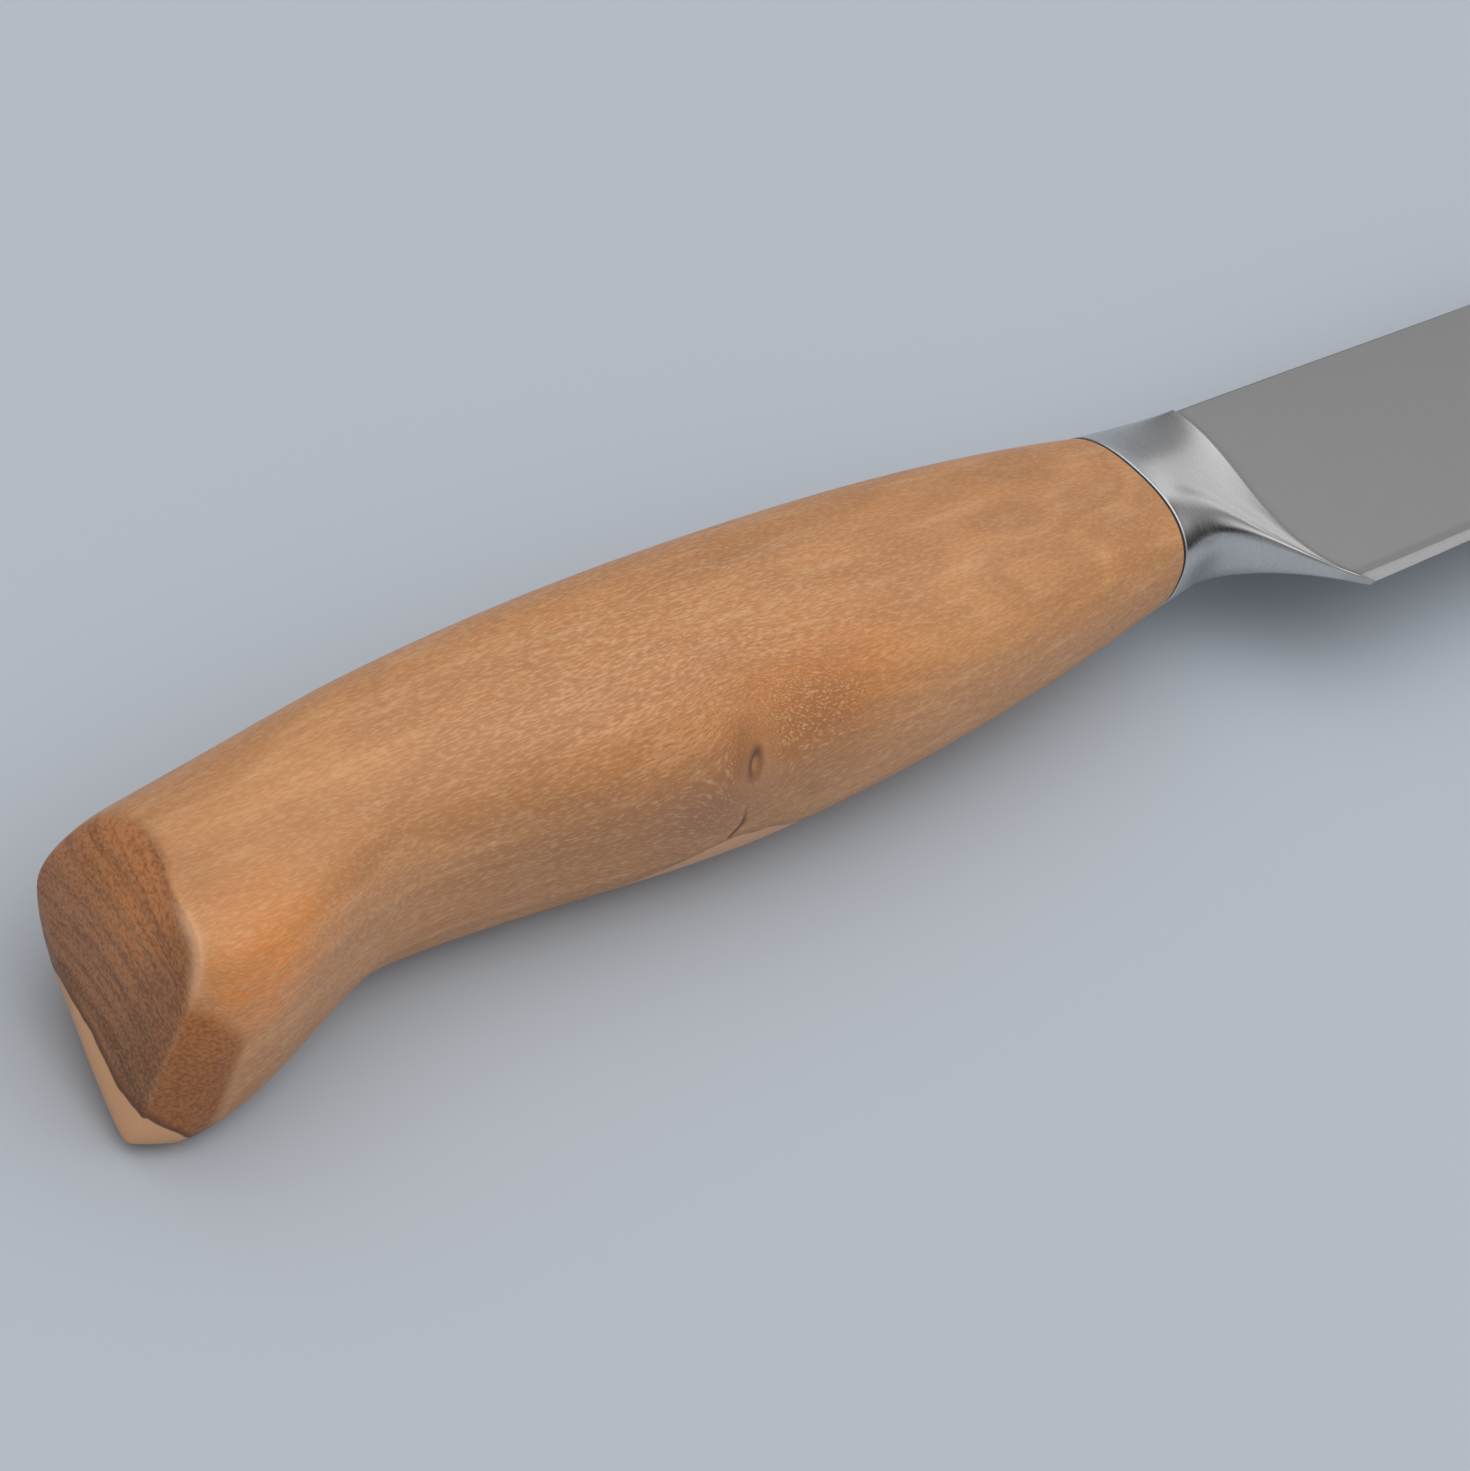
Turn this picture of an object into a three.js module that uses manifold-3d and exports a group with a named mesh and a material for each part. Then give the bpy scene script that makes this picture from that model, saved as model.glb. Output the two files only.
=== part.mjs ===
import * as THREE from "three";
import Module from "manifold-3d";

// A paring knife lying on its side, in millimetres: +X points to the tip, +Y to the spine, +Z up.
// While it is drawn, x = 0 is the front face of the wooden handle, y = 0 the middle of that face
// and z = 0 the mid-plane of the blade. The finished knife stands on z = 0 about its own middle.

// Collar: the oval that the bolster, the spacer and the front of the handle share
const COLLAR_HEIGHT = 14.5;
const COLLAR_THICKNESS = 10.7;
const OVAL_SQUARENESS = 2.46;

// Handle: distances run back from the front face or forward from the toe, heights are counted
// from the middle of the front face
const HANDLE_LENGTH = 101;
const CROWN_BACK = 43;
const CROWN_HEIGHT = 9.85;
const SWELL_BACK = 43;
const SWELL_DEPTH = 11.1;
const WAIST_FROM_TOE = 24;
const WAIST_DEPTH = 8.4;
const TOE_DEPTH = 12.3;
const TOE_LENGTH = 4.7;
const TOE_FACET_LENGTH = 2.6;
const TOE_FACET_RISE = 0.3;
const TOE_RIDGE_RISE = 1.47;
const BUTT_SLANT = 4.7;
const BUTT_SPINE_HEIGHT = 5.85;
const BUTT_SPINE_SLOPE = 0.125;
const FRONT_SPINE_FLARE = 0.149;
const FRONT_BELLY_FLARE = 0.169;
const FRONT_SIDE_FLARE = 0.155;
const PALM_BACK = 62;
const PALM_THICKNESS = 19.6;
const BUTT_THICKNESS = 17.8;
const BUTT_EDGE_LENGTH = 4.4;
const BUTT_EDGE_DROP = 0.72;
const BUTT_DOME = 2.3;
const BUTT_DOME_RISE = 7.2;
const BUTT_SQUARENESS = 2.3;
const TOE_UPPER_SQUARENESS = 4.9;
const TOE_LOWER_SQUARENESS = 10.5;
const TOE_SKEW = 0.062;
const TOE_FULLNESS = 0.07;
const TOE_BLEND_LENGTH = 21;
const TOE_BLEND_POWER = 1.5;
const SIDE_FLAT_DEPTH = 0.25;

// Spacer
const SPACER_THICKNESS = 0.25;
const SPACER_INSET = 0.05;

// Blade: distances run forward from the front of the handle or back from the tip
const BLADE_LENGTH = 90;
const HEEL_FORWARD = 16.2;
const HEEL_DEPTH = 13.75;
const SPINE_HEIGHT = 6.87;
const SPINE_SWEEP_LENGTH = 48;
const SPINE_DROP = 0.27;
const EDGE_SWEEP_LENGTH = 48;
const EDGE_LIFT = 0.25;
const TIP_DEPTH = 5.2;
const TIP_BLUNTNESS = 0.4;
const TIP_SPINE_SLOPE = -0.65;
const TIP_EDGE_SLOPE = 0.5;
const SPINE_THICKNESS = 2;
const TIP_THICKNESS = 0.6;
const BEVEL_HEIGHT = 0.9;
const BEVEL_THICKNESS = 0.5;
const TIP_BEVEL_HEIGHT = 0.1;
const TIP_BEVEL_THICKNESS = 0.3;
const EDGE_THICKNESS = 0.08;
const SPINE_ROUNDING = 0.15;
const TIP_ROUNDING = 0.05;
const FLANK_CROWN = 1.25;

// Bolster: distances run forward from the front of the handle
const BOLSTER_END = 14.2;
const SPINE_STEP = 0.14;
const GRIND_STEP = 0.15;
const GRIND_BOW = 1.9;
const GRIND_BOW_LOW = 1.5;
const NOTCH_FORWARD = 5.2;
const NOTCH_RISE = 0.6;
const HEEL_SLOPE = -0.95;
const BOLSTER_SQUARENESS = 3.4;
const BOLSTER_SHOULDER_SHARE = 0.5;
const BOLSTER_UPPER_SWAY = -0.3;
const BOLSTER_LOWER_SWAY = 0.6;
const BOLSTER_SWAY_START = 0.6;
const BOLSTER_SWAY_END = 0.9;

// Tang and the adhesive around it
const TANG_END_COVER = 31;
const TANG_SHOULDER = 3.25;
const TANG_END_HEIGHT = 6;
const TANG_THICKNESS = 2.6;
const TANG_ROOT_FORWARD = 4;
const GLUE_WALL = 0.8;
const FIT_GAP = 0.3;

// Facets
const OVAL_SIDES = 36;
const HANDLE_RINGS = 46;
const DOME_RINGS = 4;
const SECTION_ROWS = 18;
const BOLSTER_RINGS = 16;
const BLADE_RINGS = 32;

const COLOURS = { steel: 0x8d8b8a, wood: 0xc08f63, fibre: 0x1c1b1a, resin: 0xb9a06a };

const wasm = await Module();
wasm.setup();

// Curves

// A smooth line through stations [x, y, slope], as a chain of cubic curves.
function rail(stations) {
  const path = new THREE.CurvePath();
  for (let i = 1; i < stations.length; i += 1) {
    const [x0, y0, slope0] = stations[i - 1];
    const [x1, y1, slope1] = stations[i];
    const third = (x1 - x0) / 3;
    path.add(new THREE.CubicBezierCurve(
      new THREE.Vector2(x0, y0),
      new THREE.Vector2(x0 + third, y0 + slope0 * third),
      new THREE.Vector2(x1 - third, y1 - slope1 * third),
      new THREE.Vector2(x1, y1),
    ));
  }
  return path;
}

// The height of the same smooth line above one x.
function railHeight(stations, x) {
  const rising = stations[0][0] < stations[stations.length - 1][0];
  const ordered = rising ? stations : [...stations].reverse();
  const inner = ordered.findIndex((station) => station[0] >= x);
  const next = inner < 0 ? ordered.length - 1 : Math.max(inner, 1);
  const [x0, y0, slope0] = ordered[next - 1];
  const [x1, y1, slope1] = ordered[next];
  const span = x1 - x0;
  const t = THREE.MathUtils.clamp((x - x0) / span, 0, 1);
  const fall = t * t * (3 - 2 * t);
  const lead = t * (1 - t) * (1 - t) * span * slope0;
  const trail = t * t * (t - 1) * span * slope1;
  return y0 * (1 - fall) + y1 * fall + lead + trail;
}

// A rounded power of a sine or cosine: 2 gives an ellipse, larger values a squarer oval.
function squared(value, squareness) {
  return Math.sign(value) * Math.abs(value) ** (2 / squareness);
}

// Solids

// A closed geometry through rings of points, which follow each other towards +X and each run
// from +Y to +Z. Both ends are closed by a fan about the ring's middle.
function loft(rings) {
  const count = rings[0].length;
  const points = rings.flat();
  const faces = [];
  for (let i = 0; i + 1 < rings.length; i += 1) {
    for (let j = 0; j < count; j += 1) {
      const here = i * count + j;
      const beside = i * count + ((j + 1) % count);
      faces.push(here, beside, beside + count, here, beside + count, here + count);
    }
  }
  const lastStart = (rings.length - 1) * count;
  const rearMiddle = points.push(middleOf(rings[0])) - 1;
  const frontMiddle = points.push(middleOf(rings[rings.length - 1])) - 1;
  for (let j = 0; j < count; j += 1) {
    const beside = (j + 1) % count;
    faces.push(rearMiddle, beside, j, frontMiddle, lastStart + j, lastStart + beside);
  }
  const geometry = new THREE.BufferGeometry().setFromPoints(points);
  geometry.setIndex(faces);
  return geometry;
}

function middleOf(ring) {
  const sum = ring.reduce((total, point) => total.add(point), new THREE.Vector3());
  return sum.divideScalar(ring.length);
}

// A straight bar along X with a rectangle of its own at each end.
function bar(rear, front) {
  const rectangle = ({ x, height, thickness }) => {
    const y = height / 2;
    const z = thickness / 2;
    const corners = [[y, -z], [y, z], [-y, z], [-y, -z]];
    return corners.map(([cornerY, cornerZ]) => new THREE.Vector3(x, cornerY, cornerZ));
  };
  return loft([rectangle(rear), rectangle(front)]);
}

function solidOf(geometry) {
  const vertProperties = new Float32Array(geometry.getAttribute("position").array);
  const triVerts = new Uint32Array(geometry.getIndex().array);
  return new wasm.Manifold(new wasm.Mesh({ numProp: 3, vertProperties, triVerts }));
}

function geometryOf(solid) {
  const { vertProperties, triVerts } = solid.getMesh();
  const geometry = new THREE.BufferGeometry();
  geometry.setAttribute("position", new THREE.BufferAttribute(vertProperties, 3));
  geometry.setIndex(new THREE.BufferAttribute(triVerts, 1));
  geometry.computeVertexNormals();
  return geometry;
}

function mesh(name, solid, material) {
  const part = new THREE.Mesh(geometryOf(solid), new THREE.MeshStandardMaterial(material));
  part.name = name;
  return part;
}

// Tang: the bar that joins blade and handle, grown by a margin for the pieces around it

const tangLength = HANDLE_LENGTH - TANG_END_COVER;
const tangRootHeight = COLLAR_HEIGHT - 2 * TANG_SHOULDER;

function tangBar(margin, rearX, frontX) {
  const slope = (tangRootHeight - TANG_END_HEIGHT) / tangLength;
  const end = (x) => ({
    x,
    height: tangRootHeight + slope * x + 2 * margin,
    thickness: TANG_THICKNESS + 2 * margin,
  });
  return solidOf(bar(end(rearX), end(frontX)));
}

// Handle

const spineStations = [
  [0, COLLAR_HEIGHT / 2, -FRONT_SPINE_FLARE],
  [-CROWN_BACK, CROWN_HEIGHT, 0],
  [BUTT_SLANT - HANDLE_LENGTH, BUTT_SPINE_HEIGHT, BUTT_SPINE_SLOPE],
];
const facetSlope = (TOE_FACET_RISE - TOE_RIDGE_RISE) / TOE_FACET_LENGTH;
const bellyStations = [
  [0, -COLLAR_HEIGHT / 2, FRONT_BELLY_FLARE],
  [-SWELL_BACK, -SWELL_DEPTH, 0],
  [WAIST_FROM_TOE - HANDLE_LENGTH, -WAIST_DEPTH, 0],
  [TOE_LENGTH - HANDLE_LENGTH, -TOE_DEPTH, 0],
  [TOE_FACET_LENGTH - HANDLE_LENGTH, TOE_FACET_RISE - TOE_DEPTH, facetSlope],
  [-HANDLE_LENGTH, TOE_RIDGE_RISE - TOE_DEPTH, facetSlope],
];
const buttMiddle = BUTT_SLANT / 2 - HANDLE_LENGTH;
const sideStations = [
  [0, COLLAR_THICKNESS / 2, -FRONT_SIDE_FLARE],
  [-PALM_BACK, PALM_THICKNESS / 2, 0],
  [buttMiddle, BUTT_THICKNESS / 2, 0],
];

// Half the thickness, which rounds off over the last few millimetres before the butt.
function sideAt(x) {
  const fromButt = Math.max(x - buttMiddle, 0);
  const into = THREE.MathUtils.clamp(1 - fromButt / BUTT_EDGE_LENGTH, 0, 1);
  return railHeight(sideStations, x) - BUTT_EDGE_DROP * (1 - Math.sqrt(1 - into * into));
}

// One oval ring of the handle between a point of the spine and a point of the belly. Towards the
// butt the toe side grows square and full, sharper below than above, and its lower corner runs
// a little further back.
function handleRing(top, bottom) {
  const middle = top.clone().add(bottom).multiplyScalar(0.5);
  const reach = top.clone().sub(bottom).multiplyScalar(0.5);
  const side = sideAt(middle.x);
  const blend = THREE.MathUtils.clamp(1 - (middle.x - buttMiddle) / TOE_BLEND_LENGTH, 0, 1);
  const ring = [];
  for (let j = 0; j < OVAL_SIDES; j += 1) {
    const angle = (2 * Math.PI * j) / OVAL_SIDES;
    const toeSquareness = Math.sin(angle) < 0 ? TOE_LOWER_SQUARENESS : TOE_UPPER_SQUARENESS;
    const squareEnd = Math.cos(angle) < 0 ? toeSquareness : BUTT_SQUARENESS;
    const squareness = THREE.MathUtils.lerp(OVAL_SQUARENESS, squareEnd, blend ** TOE_BLEND_POWER);
    const up = squared(Math.cos(angle), squareness);
    const out = squared(Math.sin(angle), squareness) * (1 - TOE_FULLNESS * blend * up);
    const z = side * out;
    const skew = TOE_SKEW * blend * blend * z * Math.max(-up, 0);
    ring.push(new THREE.Vector3(middle.x + reach.x * up + skew, middle.y + reach.y * up, z));
  }
  return ring;
}

// The slightly domed butt: the last ring drawn in and pushed out, with its crown towards the spine.
function domeRings(rim) {
  const toe = rim[OVAL_SIDES / 2];
  const middle = rim[0].clone().add(toe).multiplyScalar(0.5);
  const across = rim[0].clone().sub(toe).normalize();
  const outward = new THREE.Vector3(-across.y, across.x, 0);
  const rings = [];
  for (let i = 1; i <= DOME_RINGS; i += 1) {
    const share = 1 - i / (DOME_RINGS + 1);
    const centre = middle.clone();
    centre.addScaledVector(outward, BUTT_DOME * (1 - share * share));
    centre.addScaledVector(across, BUTT_DOME_RISE * (1 - share));
    rings.push(rim.map((point) => point.clone().sub(middle).multiplyScalar(share).add(centre)));
  }
  return rings;
}

function handleBlank() {
  const spine = rail(spineStations);
  const belly = rail(bellyStations);
  const rings = [];
  for (let i = 0; i <= HANDLE_RINGS; i += 1) {
    const along = i / HANDLE_RINGS;
    rings.push(handleRing(spine.getPointAt(along), belly.getPointAt(along)));
  }
  rings.push(...domeRings(rings[HANDLE_RINGS]));
  return solidOf(loft(rings.reverse()));
}

// The flat that the knife lies on is taken off the lower side.
function sideFlatCutter() {
  const flat = PALM_THICKNESS / 2 - SIDE_FLAT_DEPTH;
  const section = { height: 4 * TOE_DEPTH, thickness: PALM_THICKNESS };
  const block = bar({ x: -2 * HANDLE_LENGTH, ...section }, { x: HANDLE_LENGTH, ...section });
  return solidOf(block.translate(0, 0, -flat - PALM_THICKNESS / 2));
}

function buildHandle() {
  const margin = 2 * FIT_GAP + GLUE_WALL;
  const mortise = tangBar(margin, -tangLength - margin, HANDLE_LENGTH);
  return handleBlank().subtract(sideFlatCutter()).subtract(mortise);
}

// Adhesive: a sleeve with a closed rear end that fills the mortise around the tang
function buildAdhesive() {
  const inner = tangBar(FIT_GAP, -tangLength - FIT_GAP, HANDLE_LENGTH);
  const wall = FIT_GAP + GLUE_WALL;
  return tangBar(wall, -tangLength - wall, -FIT_GAP).subtract(inner);
}

// Spacer: a thin sheet with the collar's outline and a slot for the tang
function collarRing(x, inset) {
  const ring = [];
  for (let j = 0; j < OVAL_SIDES; j += 1) {
    const angle = (2 * Math.PI * j) / OVAL_SIDES;
    const y = (COLLAR_HEIGHT / 2 - inset) * squared(Math.cos(angle), OVAL_SQUARENESS);
    const z = (COLLAR_THICKNESS / 2 - inset) * squared(Math.sin(angle), OVAL_SQUARENESS);
    ring.push(new THREE.Vector3(x, y, z));
  }
  return ring;
}

function buildSpacer() {
  const sheet = loft([collarRing(0, SPACER_INSET), collarRing(SPACER_THICKNESS, SPACER_INSET)]);
  return solidOf(sheet).subtract(tangBar(FIT_GAP, -tangLength, HANDLE_LENGTH));
}

// Forging: bolster, blade and tang in one piece of steel

const bolsterStart = SPACER_THICKNESS;
const bolsterTopStations = [
  [bolsterStart, COLLAR_HEIGHT / 2, 0],
  [BOLSTER_END, SPINE_HEIGHT + SPINE_STEP, 0],
];
const bolsterBottomStations = [
  [bolsterStart, -COLLAR_HEIGHT / 2, 0],
  [NOTCH_FORWARD, NOTCH_RISE - COLLAR_HEIGHT / 2, 0],
  [HEEL_FORWARD, -HEEL_DEPTH, HEEL_SLOPE],
];
const tipForward = HEEL_FORWARD + BLADE_LENGTH;
const bladeSpineStations = [
  [BOLSTER_END, SPINE_HEIGHT, 0],
  [tipForward - SPINE_SWEEP_LENGTH, SPINE_HEIGHT - SPINE_DROP, 0],
  [tipForward, -TIP_DEPTH + TIP_BLUNTNESS / 2, TIP_SPINE_SLOPE],
];
const bladeEdgeStations = [
  [HEEL_FORWARD, -HEEL_DEPTH, 0],
  [tipForward - EDGE_SWEEP_LENGTH, EDGE_LIFT - HEEL_DEPTH, 0],
  [tipForward, -TIP_DEPTH - TIP_BLUNTNESS / 2, TIP_EDGE_SLOPE],
];

// One row of a blade section: its depth below the spine and its half thickness. From the flat
// spine the rows run over a rounded corner and a slightly crowned flank to the edge bevel.
function bladeRow(row, height, along) {
  const { lerp } = THREE.MathUtils;
  const spineSide = lerp(SPINE_THICKNESS, TIP_THICKNESS, along) / 2;
  const bevelSide = lerp(BEVEL_THICKNESS, TIP_BEVEL_THICKNESS, along) / 2;
  const bevelHeight = lerp(BEVEL_HEIGHT, TIP_BEVEL_HEIGHT, along);
  const rounding = lerp(SPINE_ROUNDING, TIP_ROUNDING, along);
  if (row === 0) return { depth: 0, side: spineSide - rounding };
  const edgeRow = SECTION_ROWS - 1;
  const bevelRow = edgeRow - 2;
  if (row > bevelRow) {
    const down = (row - bevelRow) / (edgeRow - bevelRow);
    return { depth: height - bevelHeight * (1 - down), side: lerp(bevelSide, EDGE_THICKNESS / 2, down) };
  }
  const down = (1 - Math.cos((Math.PI * (row - 1)) / (bevelRow - 1))) / 2;
  const side = lerp(spineSide, bevelSide, down ** FLANK_CROWN);
  return { depth: lerp(rounding, height - bevelHeight, down), side };
}

// A closed ring from the rows of its upper side.
function mirroredRing(rows) {
  const lower = rows.map(({ x, y, z }) => new THREE.Vector3(x, y, -z));
  return [...rows, ...lower.reverse()];
}

// The bolster thins from the collar to the blade: evenly on its flanks, in a sway on its lower
// shoulder, which is squarer than the collar. Each ring bows back so that the last one, where the
// grinding of the blade stops, curves from the spine down to the heel.
function bolsterRing(along, high, low) {
  const { lerp, smoothstep } = THREE.MathUtils;
  const grindHeight = SPINE_HEIGHT + HEEL_DEPTH;
  const intoShoulder = smoothstep(along, 0, BOLSTER_SHOULDER_SHARE);
  const shoulder = lerp(OVAL_SQUARENESS, BOLSTER_SQUARENESS, intoShoulder);
  const rows = [];
  for (let row = 0; row < SECTION_ROWS; row += 1) {
    const angle = (Math.PI * (row + 0.5)) / SECTION_ROWS;
    const squareness = Math.cos(angle) < 0 ? shoulder : OVAL_SQUARENESS;
    const collarSide = (COLLAR_THICKNESS / 2) * squared(Math.sin(angle), squareness);
    const collarDown = (1 - squared(Math.cos(angle), squareness)) / 2;
    const blade = bladeRow(row, grindHeight, 0);
    const down = lerp(collarDown, blade.depth / grindHeight, along);
    const up = 1 - 2 * down;
    const bow = GRIND_BOW * along * (1 - up * up) * (1 - GRIND_BOW_LOW * up);
    const lowerShare = smoothstep(down, BOLSTER_SWAY_START, BOLSTER_SWAY_END);
    const sway = lerp(BOLSTER_UPPER_SWAY, BOLSTER_LOWER_SWAY, lowerShare);
    const thinning = lerp(along, smoothstep(along, 0, 1), sway);
    const z = lerp(collarSide, blade.side + GRIND_STEP, thinning);
    const x = lerp(high.x, low.x, down) - bow;
    rows.push(new THREE.Vector3(x, lerp(high.y, low.y, down), z));
  }
  return mirroredRing(rows);
}

function bolsterRings() {
  const top = rail(bolsterTopStations);
  const bottom = rail(bolsterBottomStations);
  const rings = [];
  for (let i = 0; i <= BOLSTER_RINGS; i += 1) {
    const along = i / BOLSTER_RINGS;
    rings.push(bolsterRing(along, top.getPointAt(along), bottom.getPointAt(along)));
  }
  return rings;
}

// The blade starts along the last ring of the bolster, a small step inside it, and narrows to
// the tip.
function bladeRings(grindRing) {
  const rings = [];
  for (let i = 0; i <= BLADE_RINGS; i += 1) {
    const along = i / BLADE_RINGS;
    const rows = [];
    for (let row = 0; row < SECTION_ROWS; row += 1) {
      const x = THREE.MathUtils.lerp(grindRing[row].x, tipForward, along);
      const top = railHeight(bladeSpineStations, x);
      const { depth, side } = bladeRow(row, top - railHeight(bladeEdgeStations, x), along);
      rows.push(new THREE.Vector3(x, top - depth, side));
    }
    rings.push(mirroredRing(rows));
  }
  return rings;
}

function buildForging() {
  const bolster = bolsterRings();
  const body = loft([...bolster, ...bladeRings(bolster[BOLSTER_RINGS])]);
  return solidOf(body).add(tangBar(0, -tangLength, TANG_ROOT_FORWARD));
}

// Assembly

const knife = new THREE.Group();
knife.name = "paring_knife";
knife.add(mesh("blade", buildForging(), { color: COLOURS.steel, roughness: 0.35, metalness: 1 }));
knife.add(mesh("spacer", buildSpacer(), { color: COLOURS.fibre, roughness: 0.7, metalness: 0 }));
knife.add(mesh("handle", buildHandle(), { color: COLOURS.wood, roughness: 0.5, metalness: 0 }));
knife.add(mesh("tang_adhesive", buildAdhesive(), { color: COLOURS.resin, roughness: 0.4, metalness: 0 }));

// The origin lies under the middle of the knife, on the surface that it rests on.
const box = new THREE.Box3().setFromObject(knife);
const centre = box.getCenter(new THREE.Vector3());
knife.position.set(-centre.x, -centre.y, -box.min.z);
knife.updateMatrixWorld(true);

export default knife;
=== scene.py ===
import math

import bpy
import numpy as np
from mathutils import Matrix, Vector


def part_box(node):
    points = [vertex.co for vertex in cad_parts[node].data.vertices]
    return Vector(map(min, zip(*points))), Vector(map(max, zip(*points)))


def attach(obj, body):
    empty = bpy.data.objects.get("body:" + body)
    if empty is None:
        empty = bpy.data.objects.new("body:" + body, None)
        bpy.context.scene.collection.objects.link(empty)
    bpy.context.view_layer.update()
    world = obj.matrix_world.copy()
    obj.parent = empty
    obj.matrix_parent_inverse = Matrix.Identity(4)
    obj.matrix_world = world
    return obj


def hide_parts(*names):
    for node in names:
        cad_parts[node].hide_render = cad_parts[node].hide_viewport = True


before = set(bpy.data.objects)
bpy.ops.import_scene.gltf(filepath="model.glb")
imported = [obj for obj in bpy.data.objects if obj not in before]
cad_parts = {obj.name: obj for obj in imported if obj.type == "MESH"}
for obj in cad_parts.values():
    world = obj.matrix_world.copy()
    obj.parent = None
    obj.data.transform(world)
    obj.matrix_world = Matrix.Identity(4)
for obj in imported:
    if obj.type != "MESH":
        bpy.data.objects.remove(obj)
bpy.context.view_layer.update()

# A paring knife lying on its side. It is drawn in millimetres, like its solids: x = 0 is the front
# face of the wooden handle, +X points to the tip, +Y to the spine, and z = 0 is the mid-plane of
# the blade. row_frame() takes drawn points to the frame, in metres.
MM = 0.001
spacer_low, spacer_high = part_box("spacer")
DRAWN_ORIGIN = np.array([
    spacer_low.x,
    (spacer_low.y + spacer_high.y) / 2,
    (spacer_low.z + spacer_high.z) / 2,
])

# Collar: the oval that the bolster, the spacer and the front of the handle share
COLLAR_HEIGHT = 14.5
COLLAR_THICKNESS = 10.7
OVAL_SQUARENESS = 2.46

# Handle
HANDLE_LENGTH = 101
CROWN_BACK = 43
CROWN_HEIGHT = 9.85
SWELL_BACK = 43
SWELL_DEPTH = 11.1
WAIST_FROM_TOE = 24
WAIST_DEPTH = 8.4
TOE_DEPTH = 12.3
TOE_LENGTH = 4.7
TOE_FACET_LENGTH = 2.6
TOE_FACET_RISE = 0.3
TOE_RIDGE_RISE = 1.47
BUTT_SLANT = 4.7
BUTT_SPINE_HEIGHT = 5.85
BUTT_SPINE_SLOPE = 0.125
FRONT_SPINE_FLARE = 0.149
FRONT_BELLY_FLARE = 0.169
FRONT_SIDE_FLARE = 0.155
PALM_BACK = 62
PALM_THICKNESS = 19.6
BUTT_THICKNESS = 17.8
BUTT_EDGE_LENGTH = 4.4
BUTT_EDGE_DROP = 0.72
BUTT_DOME = 2.3
BUTT_DOME_RISE = 7.2
BUTT_SQUARENESS = 2.3
TOE_UPPER_SQUARENESS = 4.9
TOE_LOWER_SQUARENESS = 10.5
TOE_SKEW = 0.062
TOE_FULLNESS = 0.07
TOE_BLEND_LENGTH = 21
TOE_BLEND_POWER = 1.5
SIDE_FLAT_DEPTH = 0.25
FRONT_ROUNDING = 0.14
SPINE_RIM_SMOOTHING = 70
TOE_RIM_SMOOTHING = 1
RIM_SMOOTHING_CHANGE = (-6.0, 1.0)
RIM_SMOOTHING_STRENGTH = 0.5

# Spacer
SPACER_THICKNESS = 0.25
SPACER_INSET = 0.05

# Blade
BLADE_LENGTH = 90
HEEL_FORWARD = 16.2
HEEL_DEPTH = 13.75
SPINE_HEIGHT = 6.87
SPINE_SWEEP_LENGTH = 48
SPINE_DROP = 0.27
EDGE_SWEEP_LENGTH = 48
EDGE_LIFT = 0.25
TIP_DEPTH = 5.2
TIP_BLUNTNESS = 0.4
TIP_SPINE_SLOPE = -0.65
TIP_EDGE_SLOPE = 0.5
SPINE_THICKNESS = 2
TIP_THICKNESS = 0.6
BEVEL_HEIGHT = 0.9
BEVEL_THICKNESS = 0.5
TIP_BEVEL_HEIGHT = 0.1
TIP_BEVEL_THICKNESS = 0.3
EDGE_THICKNESS = 0.08
SPINE_ROUNDING = 0.15
TIP_ROUNDING = 0.05
FLANK_CROWN = 1.25

# Bolster
BOLSTER_END = 14.2
SPINE_STEP = 0.14
GRIND_STEP = 0.15
GRIND_BOW = 1.9
GRIND_BOW_LOW = 1.5
NOTCH_FORWARD = 5.2
NOTCH_RISE = 0.6
HEEL_SLOPE = -0.95
COLLAR_ROUNDING = 0.1
BOLSTER_SQUARENESS = 3.4
BOLSTER_SHOULDER_SHARE = 0.5
BOLSTER_UPPER_SWAY = -0.3
BOLSTER_LOWER_SWAY = 0.6
BOLSTER_SWAY_CHANGE = (0.6, 0.9)
GRIND_FILLET = 0.55

# Tang and mortise
TANG_END_COVER = 31
TANG_SHOULDER = 3.25
TANG_END_HEIGHT = 6
TANG_THICKNESS = 2.6
MORTISE_MARGIN = 1.4
SLOT_MARGIN = 0.3

# Mesh density
OVAL_POINTS = 208
OVAL_FINE_POINTS = 1440
HANDLE_BODY_RINGS = 190
KNOT_RINGS = 44
KNOT_RING_REACH = 2.4
HANDLE_TOE_RINGS = 70
HANDLE_TOE_SHARE = 0.9
DOME_RINGS = 44
ROUNDING_RINGS = 4
BOLSTER_RINGS = 56
BLADE_RINGS = 130
FILLET_RINGS = 8
SECTION_ROWS = 18
CORNER_ROWS = 4
FLANK_ROWS = 42
BEVEL_ROWS = 4
RAIL_STEPS = 400
SHARP_DEGREES = 33
STEEL_SHARP_DEGREES = 28
FAR_OFF = 99.0

TANG_LENGTH = HANDLE_LENGTH - TANG_END_COVER
TANG_ROOT_HEIGHT = COLLAR_HEIGHT - 2 * TANG_SHOULDER
BUTT_MIDDLE = BUTT_SLANT / 2 - HANDLE_LENGTH
TIP_FORWARD = HEEL_FORWARD + BLADE_LENGTH
GRIND_HEIGHT = SPINE_HEIGHT + HEEL_DEPTH

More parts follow.
